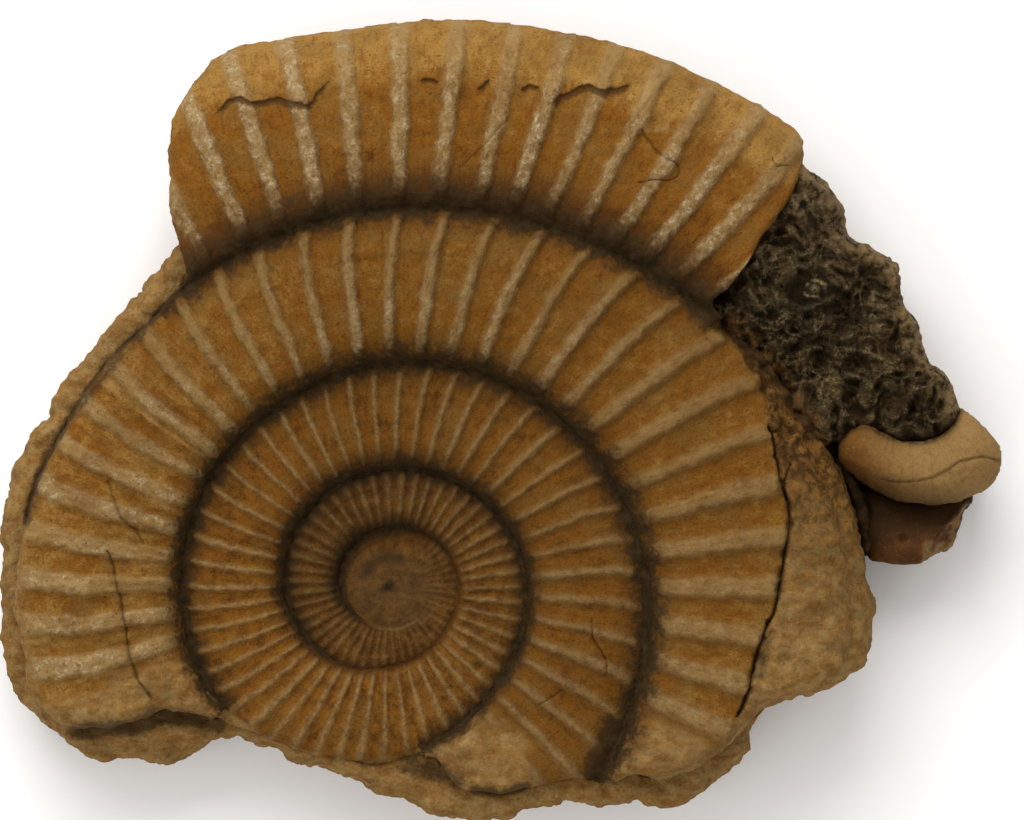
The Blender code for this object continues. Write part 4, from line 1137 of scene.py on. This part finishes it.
# Finger-like knobs at the dark wall's top corner: place, radius and height.
WALL_KNOBS = (
    ((126, 121), 3.2, 4.0), ((130.5, 119), 2.6, 4.5), ((134, 113), 3.0, 4.0), ((124, 112), 3.5, 3.0),
    ((128.5, 108), 3.0, 2.0), ((109, 96), 4.0, 3.0), ((106, 88), 4.0, 3.0), ((150, 80), 5.0, 2.5),
    ((140, 72), 5.0, 2.5), ((146, 61), 5.0, 2.0), ((98, 83), 5.0, 5.0), ((104, 80), 4.0, 3.0),
    ((110, 73), 4.0, 3.0), ((115, 67), 3.5, 3.0), ((119, 61), 4.0, 3.0), ((124, 54), 4.0, 3.0),
)
# Strands that run down the dark wall, and folds like eyelids around its nodule.
WALL_STRANDS = (
    ((120.5, 117.3), (123.9, 110.6), (127.8, 105.7), (131.2, 101.8), (133, 98)),
    ((123, 119.3), (126.8, 114.4), (128.3, 108.6), (134.1, 100.8)),
    ((130.5, 118), (129.5, 112.5), (131.5, 107), (137, 102)),
    ((110.8, 100.8), (111.8, 96), (110.8, 91.5), (112, 88)),
    ((107, 91), (109.5, 86.5), (112.8, 82)),
    ((140.3, 83.2), (143.7, 79.3), (149, 78.3), (152.9, 75.4), (155.8, 70.6), (158.8, 67.6)),
    ((133.5, 70.6), (143.2, 70.6), (149, 66.7), (151, 62.8)),
    ((134.4, 65.7), (142.2, 62.8), (146.1, 57.9)),
    ((145, 88), (149, 85), (152, 86.5)),
)
EYE_FOLDS = (
    ((114.7, 89.2), (116.5, 92.5), (120.5, 95.5), (127.3, 97.4), (132, 94.5), (134.5, 91)),
    ((114.7, 89.2), (117.6, 86.2), (124.4, 83.4), (131.2, 85.5), (135.1, 87.4)),
)
EYE_FOLD_REACH = 1.1
# The size of the wall's fibrous folds.
WALL_FIBRE = 3.8
# The nodule's ring.
NODULE_RING = 3.1
# Where the wall reaches in between the outermost whorl's end and the whorl below.
WALL_TONGUE = (92.5, 82.5)


def strand_mask(x, y, half_width):
    """1 along the wall's strands, which wander and come and go, fading to 0 off them."""
    spread = solid_points(x, y)
    moved_x = x + 1.2 * layers(spread, 5.0, 73, 2)
    moved_y = y + 1.2 * layers(spread, 5.0, 76, 2)
    strand = np.zeros(len(x))
    for line in WALL_STRANDS:
        strand = np.maximum(strand, near_line(moved_x, moved_y, line, half_width))
    return strand * smooth_step(-0.5, 0.3, bumps(spread, 4.0, 79))


def nodule_ring(x, y):
    """The uneven, broken ring around the nodule: 1 on it, fading to 0 off it."""
    along, across = x - NODULE_PLACE[0], y - NODULE_PLACE[1]
    spread = solid_points(x, y)
    radius = NODULE_RING + 0.7 * bumps(spread, 2.4, 68)
    ring = np.exp(-((np.hypot(along, 1.15 * across) - radius) / 0.55) ** 2)
    return ring * smooth_step(-0.7, 0.3, bumps(spread, 2.0, 69))


def clear_part(x, y):
    """1 in the smooth hollow around the nodule, fading to 0 off it."""
    along, across = (x - NODULE_PLACE[0] + 1.0) / 9.0, (y - NODULE_PLACE[1] + 1.5) / 6.0
    return np.exp(-(along ** 2 + across ** 2) ** 2)


def bent_points(x, y):
    """Places shifted by noise, so that the crust's folds wind."""
    spread = solid_points(x, y)
    return spread + 2.5 * np.column_stack([bumps(spread, 6.0, 60 + k) for k in (0, 1, 2)])


def wall_surface(x, y):
    bent = bent_points(x, y)
    knobs = np.array([noise.noise(Vector((px, py, 7.3)) / WALL_KNOB_SIZE) for px, py in zip(x, y)])
    height = level_height(x, y, WALL_LEVELS) + WALL_KNOB_HEIGHT * knobs
    height += lump_relief(x, y, WALL_KNOBS)
    clear = clear_part(x, y)
    crust = 2.0 * (ridges(bent, WALL_FIBRE, 61, 3) - 0.5) + 1.4 * layers(bent, 2.0, 65, 3)
    crust += 2.2 * (ridges(bent, 12.0, 67, 1) - 0.5)
    height += crust * (1 - 0.9 * clear) * (1 - 0.3 * smooth_step(88, 100, y)) - 1.8 * clear
    height += NODULE_HEIGHT * near_place(x, y, NODULE_PLACE, 1.8)
    height += 1.4 * nodule_ring(x, y)
    height += 0.9 * strand_mask(x, y, 0.8)
    for line in EYE_FOLDS:
        height += 1.6 * near_line(x, y, line, EYE_FOLD_REACH)
    covered, side, _ = line_place(x, y, RIGHT_BREAK[1:-1])
    height -= 1.0 * np.where((side < 0) & (covered < 4), covered, 0)
    basin, side, _ = line_place(x, y, WALL_BASIN)
    return height - 1.6 * np.where((side > 0) & (basin < 5), basin, 0)


def make_dark_wall():
    under = offset_line(RIGHT_BREAK[1:-1], -2.0) + [WALL_TONGUE]
    under += offset_line(WALL_CONTACT, -3.0)
    basin = offset_line(WALL_BASIN, 2.5)
    rim = Rim([
        (WALL_OUTSIDE, 8.0, 5.0, 3.0, 1.0),
        (basin, 0.5, 1.0, 0.0, 0.2),
        (under[::-1], 1.5, 2.5, 0.0, 0.2),
    ], 0.7)
    block = Fine(rim, wall_surface, ((0.45, everywhere),), (), BLOCK_FLOOR, 26, fringe=0.3)
    block.push(0.5 * layers(block.verts, 3.0, 71, 3))
    x, y = block.verts[:, 0], block.verts[:, 1]
    bent = bent_points(x, y)
    outside = closeness(x, y, WALL_OUTSIDE, 7.5)
    strand = strand_mask(x, y, 0.55)
    for line in EYE_FOLDS:
        strand = np.maximum(strand, 0.35 * near_line(x, y, line, EYE_FOLD_REACH))
    masks = {
        "upper": smooth_step(92.0, 104.0, y),
        "deep": smooth_step(90.0, 82.0, y) * smooth_step(62.0, 70.0, y) * smooth_step(148, 136, x),
        "strand": strand,
        # The ridges of the wall's fibres, for painted glints on them and painted shade between them.
        "fibre_glint_and_shade": np.clip(ridges(bent, WALL_FIBRE, 61, 3), 0, 1) * (1 - clear_part(x, y)),
        "side": np.maximum(smooth_step(0.0, 0.1, block.down), outside),
        "brown": closeness(x, y, WALL_CONTACT, 6.0),
        "nodule": np.maximum(nodule_ring(x, y), 0.8 * near_place(x, y, NODULE_PLACE, 1.2)),
        "hollow": clear_part(x, y),
    }
    block.build("dark_chamber_wall", masks, wall_paint())


# ---- The folds -------------------------------------------------------------------------------

def inflated(outline, spacing=0.6, rounds=900):
    """A function that gives how high a smooth bag over a closed outline swells at each place.

    A long straight bag swells to a half circle.
    """
    outline = np.asarray(outline, float)
    low, high = outline.min(axis=0) - 2 * spacing, outline.max(axis=0) + 2 * spacing
    across = np.arange(low[0], high[0], spacing)
    up = np.arange(low[1], high[1], spacing)
    grid_x, grid_y = np.meshgrid(across, up)
    inside = is_inside(grid_x, grid_y, outline)
    swell = np.zeros(inside.shape)
    for _ in range(rounds):
        around = np.zeros(swell.shape)
        around[1:-1, 1:-1] = (swell[2:, 1:-1] + swell[:-2, 1:-1] + swell[1:-1, 2:]
                              + swell[1:-1, :-2] + spacing ** 2) / 4
        swell = np.where(inside, around, 0)
    height = np.sqrt(2 * swell)

    def at(x, y):
        column = np.clip((x - low[0]) / spacing, 0, len(across) - 1.001)
        row = np.clip((y - low[1]) / spacing, 0, len(up) - 1.001)
        left, bottom = column.astype(int), row.astype(int)
        part_x, part_y = column - left, row - bottom
        lower = height[bottom, left] * (1 - part_x) + height[bottom, left + 1] * part_x
        upper = height[bottom + 1, left] * (1 - part_x) + height[bottom + 1, left + 1] * part_x
        return lower * (1 - part_y) + upper * part_y

    return at


# The crack along the upper fold.
FOLD_CRACK = ((148, 32.5), (153, 31.5), (158.5, 31.8), (163, 33), (167, 35), (170, 37.2),
              (174.5, 38.8), (179, 39), (183, 37.8))
# The line along the middle of the upper fold, around which it wrinkles.
FOLD_SPINE = ((137, 41), (141, 40), (147, 37), (155, 34.5), (163, 34.5), (171, 37), (177, 42))


# The folds' mesh and rim spacing, the length that their wrinkles run over, and their heights.
EVENLY = ((0.5, everywhere),)
FOLD_SPACING = 0.6
FOLD_LENGTH = 60
FOLD_BASE = 30.0
LOWER_FOLD_BASE = 21.5


def make_upper_fold():
    rim = Rim([
        (UPPER_FOLD_BASIN, 0.0, 1.0, 0.0, 0.1),
        (UPPER_FOLD_FREE, 0.0, 1.0, 4.0, 0.2),
    ], FOLD_SPACING)
    bag = inflated(rim.points)
    crack = ragged(FOLD_CRACK, 0.6, 0.25, 3.0, 500)

    def height(x, y):
        off = line_place(x, y, crack, 4.0)[0]
        along = line_place(x, y, FOLD_SPINE)[2]
        wrinkle = bumps(solid_points(along * FOLD_LENGTH, y * 0.15, x * 0.15), 1.7, 503)
        return FOLD_BASE + 1.6 * bag(x, y) + 0.12 * wrinkle - 0.6 * np.clip(1 - off / 0.45, 0, 1)

    block = Fine(rim, height, EVENLY, [in_steps(crack, FOLD_SPACING)], BLOCK_FLOOR, 24)
    x, y = block.verts[:, 0], block.verts[:, 1]
    block.push(0.28 * layers(block.verts, 3.0, 81, 4) + 0.4 * bumps(block.verts, 9.0, 85))
    masks = {
        "crack": np.clip(1.3 - line_place(x, y, crack, 4.0)[0] / 0.5, 0, 1),
        # Painted shade on the fold's side and lower part.
        "under": np.maximum(smooth_step(0.03, 0.3, block.down),
                            0.75 * smooth_step(37.0, 27.0, y + 0.25 * (x - 150))),
        # Painted shade where the fold meets the wall's basin.
        "basin": closeness(x, y, UPPER_FOLD_BASIN, 2.0),
        "bright": smooth_step(150.0, 172.0, x + 0.3 * y),
        "wrinkle": line_place(x, y, FOLD_SPINE)[2] * FOLD_LENGTH,
    }
    block.build("upper_fold", masks,
                fold_paint("tan_fold", (119, 79, 34), (96, 62, 26), (152, 120, 73)))


# The lower fold runs on under the upper one, with a rough lip of crust on its right.
FOLD_UNDER = ((144, 29), (153, 27), (165, 26.5), (171.5, 27), (175.5, 28))
FOLD_CORNER = ((176, 25.5), (173.5, 22.5))
LIP_LINE = ((174, 24), (170.4, 19.9), (165.5, 17), (162.6, 13.7), (161.4, 10), (160.8, 6.5))
PIT_PLACE = (154.5, 14.2)


def make_lower_fold():
    rim = Rim([
        (FOLD_UNDER, 0.0, 1.0, 0.0, 0.0),
        (FOLD_CORNER, 0.0, 1.0, 1.0, 0.6),
        (LOWER_FOLD[5:], 0.0, 1.0, 1.5, 0.4),
    ], FOLD_SPACING)
    bag = inflated(rim.points)

    def height(x, y):
        off, side, _ = line_place(x, y, LIP_LINE)
        crumbs = 2.4 * layers(solid_points(x, y), 3.2, 95, 3) - 3.5
        beyond = smooth_step(-0.4, 0.4, side * off)
        lip = 1.4 * np.exp(-(off / 1.4) ** 2)
        sunk = 3.0 * smooth_step(14.0, 24.0, y)
        pit = 2.0 * near_place(x, y, PIT_PLACE, 1.5)
        return LOWER_FOLD_BASE + 1.25 * bag(x, y) + lip + crumbs * beyond - sunk - pit

    block = Fine(rim, height, EVENLY, [in_steps(LIP_LINE, FOLD_SPACING)], BLOCK_FLOOR, 20)
    x, y = block.verts[:, 0], block.verts[:, 1]
    off, side, _ = line_place(x, y, LIP_LINE)
    beyond = smooth_step(-0.4, 0.4, side * off)
    block.push((0.15 + 0.35 * beyond) * layers(block.verts, 3.0, 88, 3))
    pit = near_place(x, y, PIT_PLACE, 1.5)
    lip = np.exp(-(off / 1.3) ** 2) * smooth_step(-0.8, 0.2, bumps(block.verts, 3.0, 97))
    bright = np.maximum(lip, beyond * smooth_step(-0.3, 0.5, bumps(block.verts, 3.0, 98)))
    masks = {
        "crack": np.maximum(pit, 0.3 * beyond * (1 - bright)),
        # Painted shadow of the upper fold over this fold's upper and left part.
        "under": smooth_step(12.0, 20.0, y + 0.45 * np.maximum(157 - x, 0)) * (1 - 0.9 * bright),
        "basin": np.zeros(len(x)),
        "bright": bright,
        "wrinkle": np.zeros(len(x)),
    }
    block.build("lower_fold", masks,
                fold_paint("red_fold", (104, 66, 34), (76, 48, 24), (150, 118, 74)))


# ---- Materials -------------------------------------------------------------------------------

# How far the paints are darkened for this light.
PAINT_STRENGTH = 0.8
SPECULAR = 0.04


def srgb(red, green, blue):
    """A linear colour from the usual 0 to 255 values."""
    return tuple(PAINT_STRENGTH * ((value / 255 + 0.055) / 1.055) ** 2.4
                 for value in (red, green, blue))


class Paint:
    """One piece's material, built from nodes; sizes and depths in millimetres.

    A part of a layer is a node's output, a number, a mask's name, or (value, low, high) for a
    soft step. A colour is a node's output or its usual 0 to 255 values.
    """

    def __init__(self, name):
        self.material = bpy.data.materials.new(name)
        self.material.use_nodes = True
        self.tree = self.material.node_tree
        self.shader = self.tree.nodes["Principled BSDF"]
        self.place = self.tree.nodes.new("ShaderNodeTexCoord").outputs["Object"]
        self.colour = None

    def node(self, kind, inputs, **settings):
        made = self.tree.nodes.new(kind)
        for key, value in settings.items():
            setattr(made, key, value)
        for key, value in inputs.items():
            if isinstance(value, bpy.types.NodeSocket):
                self.tree.links.new(value, made.inputs[key])
            else:
                made.inputs[key].default_value = value
        return made

    def grain(self, size, detail=2.0, rough=0.55, where=None, twist=0.0):
        inputs = {"Vector": where or self.place, "Scale": 1 / (size * MM), "Detail": detail,
                  "Roughness": rough, "Distortion": twist}
        return self.node("ShaderNodeTexNoise", inputs).outputs["Fac"]

    def along_coil(self, along, across):
        """Coordinates that follow the coil, in metres, stretched by a factor each way."""
        inputs = {0: self.times("arc", along * MM), 1: self.times("across", across * MM)}
        return self.node("ShaderNodeCombineXYZ", inputs).outputs[0]

    def stretched(self, along, up, deep):
        """Coordinates stretched by a factor each way."""
        return self.node("ShaderNodeVectorMath", {0: self.place, 1: (along, up, deep)},
                         operation="MULTIPLY").outputs[0]

    def part(self, value):
        if isinstance(value, str):
            return self.node("ShaderNodeAttribute", {}, attribute_name=value).outputs["Fac"]
        if isinstance(value, tuple):
            inputs = dict(zip(("Value", "From Min", "From Max"), map(self.part, value)))
            made = self.node("ShaderNodeMapRange", inputs, interpolation_type="SMOOTHSTEP")
            return made.outputs["Result"]
        return value

    def maths(self, operation, first, second=0.0, third=0.0):
        inputs = {0: self.part(first), 1: self.part(second), 2: self.part(third)}
        return self.node("ShaderNodeMath", inputs, operation=operation).outputs[0]

    def scaled(self, value, scale, start):
        return self.maths("MULTIPLY_ADD", value, scale, start)

    def times(self, first, *others):
        product = self.part(first)
        for value in others:
            product = self.maths("MULTIPLY", product, value)
        return product

    def plus(self, *weighted):
        """The sum of values, each given with its weight."""
        terms = [self.times(*pair) for pair in weighted]
        total = terms[0]
        for term in terms[1:]:
            total = self.maths("ADD", total, term)
        return total

    def about(self, value, amount):
        """A 0 to 1 value as a change up or down around nothing."""
        return self.scaled(value, amount, -amount / 2)

    def varied(self, value, *grains):
        """A value changed up and down by grains, each given with its amount."""
        return self.plus((value,), *((self.about(*grain),) for grain in grains))

    def mix(self, part, first, second):
        inputs = {0: self.part(part)}
        for key, colour in ((6, first), (7, second)):
            inputs[key] = (*srgb(*colour), 1) if isinstance(colour, tuple) else colour
        return self.node("ShaderNodeMix", inputs, data_type="RGBA").outputs[2]

    def lay(self, *rows):
        """Lays colours over what is there, each where its parts say, multiplied."""
        for colour, *parts in rows:
            self.colour = self.mix(self.times(*parts), self.colour, colour)

    def finish(self, roughness, *weighted):
        self.shader.inputs["Specular IOR Level"].default_value = SPECULAR
        self.tree.links.new(self.colour, self.shader.inputs["Base Color"])
        self.tree.links.new(self.scaled(*roughness), self.shader.inputs["Roughness"])
        inputs = {"Height": self.plus(*weighted), "Distance": MM, "Strength": 1.0}
        bump = self.node("ShaderNodeBump", inputs)
        self.tree.links.new(bump.outputs["Normal"], self.shader.inputs["Normal"])
        return self.material

    def start_rock(self):
        """Worn tan rock with soft clouds, the same on the fossil and its stone."""
        middle, mottle = self.grain(4.2, 4, 0.6), self.grain(1.7, 3, 0.6)
        bands = self.grain(3.0, 4, 0.65, where=self.stretched(0.6, 1.1, 1.0))
        level = self.grain(8.0, 3, 0.6, where=self.stretched(0.3, 1.0, 1.0))
        self.colour = self.mix((middle, 0.3, 0.7), (122, 88, 44), (154, 118, 66))
        self.lay(
            ((154, 130, 86), (bands, 0.42, 0.68), 0.55),
            ((118, 76, 32), (bands, 0.5, 0.32), 0.45),
            ((134, 88, 36), (level, 0.52, 0.66), 0.5),
            ((112, 82, 46), (level, 0.48, 0.34), 0.4),
            ((90, 62, 30), (self.grain(11, 4, 0.65), 0.46, 0.33), 0.3),
            ((84, 58, 28), (mottle, 0.44, 0.3), 0.35),
            ((184, 158, 112), (self.grain(0.9, 2, 0.5), 0.6, 0.72), 0.3),
        )
        return self.colour

    def painted_shadow(self):
        """The painted shadows on the rock."""
        dark = self.varied("painted_shadow", (self.grain(4.2, 4, 0.6), 1.1), (self.grain(1.7, 3, 0.6), 0.9))
        self.lay(((60, 43, 24), (dark, 0.22, 0.85), 0.8))

    def crevice_shade(self, patch, mottle):
        """Painted shade in the gap between the fossil and its stone."""
        dark = self.varied("crevice_shade", (patch, 1.4), (mottle, 0.8))
        self.lay(((62, 45, 26), (dark, 0.3, 1.0), 0.8))


def ammonite_paint():
    paint = Paint("ochre_fossil")
    grain, varied = paint.grain, paint.varied
    broad, patch = grain(22, 3), grain(7, 4, 0.6)
    middle, mottle = grain(3.5, 4, 0.6), grain(1.7, 3, 0.6)
    fine, sand = grain(0.7, 3, 0.6), grain(0.42, 2, 0.7)
    radial = grain(1.5, 3, 0.6, where=paint.along_coil(1.2, 0.3))
    crackle = grain(1.1, 3, 0.7, where=paint.along_coil(0.35, 1.3))
    rock = paint.start_rock()
    # The grooves: dark brown at the middle of the coil, ochre, and tan towards the outside.
    shade = varied("tone", (broad, 0.35), (patch, 0.6), (middle, 0.6), (radial, 0.35), (sand, 0.7))
    paint.colour = paint.mix((shade, 0.0, 0.5), (74, 44, 15), (128, 81, 24))
    # The ribs: duller, with a light line along them.
    dull = paint.mix((shade, 0.05, 0.75), (92, 64, 30), (144, 114, 68))
    dull = paint.mix(paint.times((radial, 0.5, 0.32), 0.35), dull, (96, 64, 28))
    # Pale calcite on the ribs, grainy, with light and dark specks.
    soft = paint.part((grain(2.8, 4, 0.65), 0.4, 0.62))
    cover = paint.times("rib", "pale", paint.scaled(soft, 0.6, 0.26))
    wrinkle = varied("wrinkle", (mottle, 1.0), (fine, 0.5))
    core = paint.mix((middle, 0.3, 0.7), (72, 52, 27), (98, 72, 40))
    arcs = varied("arcs", (middle, 0.3))
    # Worn rock, rustier on the right.
    rusty = paint.mix((middle, 0.35, 0.65), (62, 41, 18), (126, 88, 42))
    rusty = paint.mix(paint.times((mottle, 0.5, 0.34), 0.7), rusty, (50, 34, 16))
    paint.lay(
        ((158, 118, 58), (shade, 0.5, 1.0)),
        ((120, 90, 42), (grain(11, 3), 0.45, 0.65), ("tone", 0.1, 0.5), 0.45),
        ((80, 48, 17), (radial, 0.45, 0.3), 0.3),
        ((70, 44, 17), (fine, 0.52, 0.3), 0.4),
        # Painted shade on the outermost whorl by its inner seam.
        ((76, 44, 14), "foot_shade", (middle, 0.75, 0.3), 0.8),
        ((80, 44, 15), (grain(1.3, 1, 0.5), 0.30, 0.24), 0.6),
        ((82, 50, 19), (crackle, 0.42, 0.28), 0.45),
        (dull, "rib", 0.7),
        ((152, 120, 72), "crest", (mottle, 0.32, 0.66), 0.65),
        ((160, 136, 96), cover),
        ((208, 190, 156), cover, soft, (grain(1.1, 3, 0.6), 0.45, 0.66), 0.7),
        ((84, 60, 32), "rib", (grain(1.3, 2, 0.6), 0.42, 0.32), ("pale", 0.1, 0.4), 0.5),
        ((104, 64, 25), (wrinkle, -0.2, -0.8), 0.3),
        ((180, 148, 96), (wrinkle, 0.2, 1.0), 0.38),
        ((44, 28, 10), "dim"),
        (core, "core", 0.72),
        ((50, 37, 20), (arcs, 0.0, 1.1), 0.7),
        ((120, 92, 54), (arcs, -0.2, -0.9), 0.35),
        (paint.mix("rust", rock, rusty), paint.maths("MAXIMUM", "bare", "side")),
    )
    paint.painted_shadow()
    # Dirt and painted shade in the seams, and dark cracks.
    seam_dirt_and_shade = varied("seam_dirt_and_shade", (patch, -2.2), (middle, -2.6), (mottle, -1.8), (fine, -0.8))
    # The seams' dark colour stands for dirt and painted shade.
    dirt = paint.mix((middle, 0.32, 0.68), (36, 27, 13), (62, 46, 26))
    paint.lay(
        ((66, 42, 17), (seam_dirt_and_shade, 3.2, 0.8), 0.5),
        (dirt, (seam_dirt_and_shade, 2.0, 0.3)),
    )
    paint.crevice_shade(patch, mottle)
    paint.lay(
        ((70, 46, 22), (varied("shadow", (mottle, 0.9)), 0.2, 0.9), 0.8),
        ((28, 22, 12), "dot", 0.8),
        ((46, 31, 15), "crack", 0.8),
    )
    return paint.finish((fine, 0.2, 0.7), (fine, 0.3), (mottle, 0.4), (middle, 0.4))


def stone_paint():
    paint = Paint("granular_stone")
    middle, fine = paint.grain(4, 4, 0.6), paint.grain(0.9, 3, 0.65)
    patch, mottle = paint.grain(7, 4, 0.6), paint.grain(1.9, 3, 0.65)
    paint.start_rock()
    paint.painted_shadow()
    paint.lay(((74, 50, 24), (fine, 0.45, 0.3), 0.35))
    paint.crevice_shade(patch, mottle)
    # Painted shade on the low floor between the pieces and in the cleft.
    paint.lay((paint.mix((middle, 0.35, 0.65), (38, 27, 14), (66, 48, 26)), "deep"))
    return paint.finish((fine, 0.2, 0.75), (fine, 0.4), (mottle, 0.5), (middle, 0.3))


def wall_paint():
    paint = Paint("dark_crust")
    middle, fine = paint.grain(3, 4), paint.grain(0.7, 3, 0.65)
    thread = paint.grain(1.3, 4, 0.7, twist=1.5)
    hair = paint.maths("ABSOLUTE", paint.about(paint.grain(3.2, 2, 0.6, twist=2.5), 1.0))
    paint.colour = paint.mix((middle, 0.35, 0.65), (36, 28, 15), (80, 63, 39))
    paint.lay(
        ((98, 78, 48), (paint.grain(8, 3), 0.42, 0.65), 0.55),
        ((104, 84, 56), "upper", (middle, 0.3, 0.6), 0.5),
        ((30, 24, 13), "deep", 0.5),
        ((124, 103, 70), (thread, 0.54, 0.68), 0.5),
        ((150, 128, 92), (hair, 0.016, 0.0), 0.6),
        # Painted glints on the ridges of the fibres and painted shade in the troughs between them.
        ((150, 129, 92), ("fibre_glint_and_shade", 0.62, 0.95), (fine, 0.35, 0.65), 0.6),
        ((22, 17, 9), ("fibre_glint_and_shade", 0.4, 0.1), 0.6),
        ((22, 17, 9), (fine, 0.5, 0.3), 0.55),
        ((24, 18, 10), (middle, 0.42, 0.3), 0.6),
        ((146, 118, 78), "side", (middle, 0.35, 0.6), 0.85),
        ((106, 72, 34), "brown", (middle, 0.36, 0.6), 0.9),
        ((34, 26, 14), "hollow", 0.65),
        ((150, 130, 94), "strand", (thread, 0.38, 0.62), 0.8),
        ((172, 148, 106), "nodule", (fine, 0.3, 0.6), 0.9),
    )
    return paint.finish((fine, 0.25, 0.5), (fine, 0.4), (thread, 0.9), (middle, 0.5))


def fold_paint(name, light, dark, bright):
    paint = Paint(name)
    fine, mottle = paint.grain(0.6, 3, 0.6), paint.grain(1.8, 3, 0.6)
    band = paint.node("ShaderNodeTexNoise", {"W": paint.part("wrinkle"), "Scale": 0.9},
                      noise_dimensions="1D").outputs["Fac"]
    paint.colour = paint.mix((paint.grain(9, 3), 0.3, 0.7), light, dark)
    paint.lay(
        (bright, "bright", 0.85),
        (dark, (mottle, 0.55, 0.3), 0.3),
        (dark, (band, 0.5, 0.3), 0.15),
        (dark, (fine, 0.5, 0.3), 0.3),
        (bright, (paint.grain(0.9, 2, 0.5), 0.6, 0.74), 0.45),
        # Painted shade and shadow on the fold's low and covered parts.
        ((50, 35, 19), "under", 0.8),
        # Painted shade where the fold meets the basin.
        ((52, 40, 24), "basin", (mottle, 0.3, 0.6), 0.85),
        ((62, 40, 20), "crack", 0.6),
    )
    return paint.finish((fine, 0.2, 0.6), (fine, 0.2), (mottle, 0.3), (band, 0.2))


# ---- Camera, light and floor -----------------------------------------------------------------

FRAME_WIDTH = 0.3072
FRAME_MIDDLE = (0.0366, 0.0531)
CAMERA_HEIGHT = 3.0
FOCUS_HEIGHT = 0.045
SENSOR_WIDTH = 36.0
# Soft lamps: name, place, size in metres and power in watts.
LAMPS = (
    ("window", (-0.35, 1.3, 1.15), 1.5, 32.0),
    ("fill", (-1.1, -1.0, 1.3), 1.5, 10.0),
)
SKY_COLOUR = (1.0, 0.985, 0.96, 1)
SKY_STRENGTH = 0.7
FLOOR_REACH = 4.0
FLOOR_COLOUR = (0.9, 0.9, 0.9, 1)
FLOOR_ROUGHNESS = 0.9


def make_camera():
    data = bpy.data.cameras.new("camera")
    data.sensor_width = SENSOR_WIDTH
    data.lens = SENSOR_WIDTH * (CAMERA_HEIGHT - FOCUS_HEIGHT) / FRAME_WIDTH
    data.clip_end = 20.0
    camera = bpy.data.objects.new("camera", data)
    camera.location = (POLE_X + FRAME_MIDDLE[0], POLE_Y + FRAME_MIDDLE[1], CAMERA_HEIGHT)
    bpy.context.scene.collection.objects.link(camera)
    bpy.context.scene.camera = camera


def make_light():
    for name, place, size, power in LAMPS:
        data = bpy.data.lights.new(name, "AREA")
        data.shape = "SQUARE"
        data.size = size
        data.energy = power
        lamp = bpy.data.objects.new(name, data)
        lamp.location = place
        lamp.rotation_mode = "QUATERNION"
        lamp.rotation_quaternion = (-Vector(place)).to_track_quat("-Z", "Y")
        bpy.context.scene.collection.objects.link(lamp)
    world = bpy.data.worlds.new("studio")
    world.use_nodes = True
    sky = world.node_tree.nodes["Background"]
    sky.inputs["Color"].default_value = SKY_COLOUR
    sky.inputs["Strength"].default_value = SKY_STRENGTH
    bpy.context.scene.world = world
    bpy.context.scene.view_settings.view_transform = "Standard"


def make_floor():
    mesh = bpy.data.meshes.new("floor")
    corners = [(x * FLOOR_REACH, y * FLOOR_REACH, 0) for x, y in ((-1, -1), (1, -1), (1, 1), (-1, 1))]
    mesh.from_pydata(corners, [], [(0, 1, 2, 3)])
    floor = bpy.data.objects.new("floor", mesh)
    bpy.context.scene.collection.objects.link(floor)
    paint = Paint("pale_floor")
    paint.shader.inputs["Base Color"].default_value = FLOOR_COLOUR
    paint.shader.inputs["Roughness"].default_value = FLOOR_ROUGHNESS
    mesh.materials.append(paint.material)
    floor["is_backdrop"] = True


make_camera()
make_light()
make_floor()
make_ammonite()
make_matrix_stone()
make_dark_wall()
make_upper_fold()
make_lower_fold()
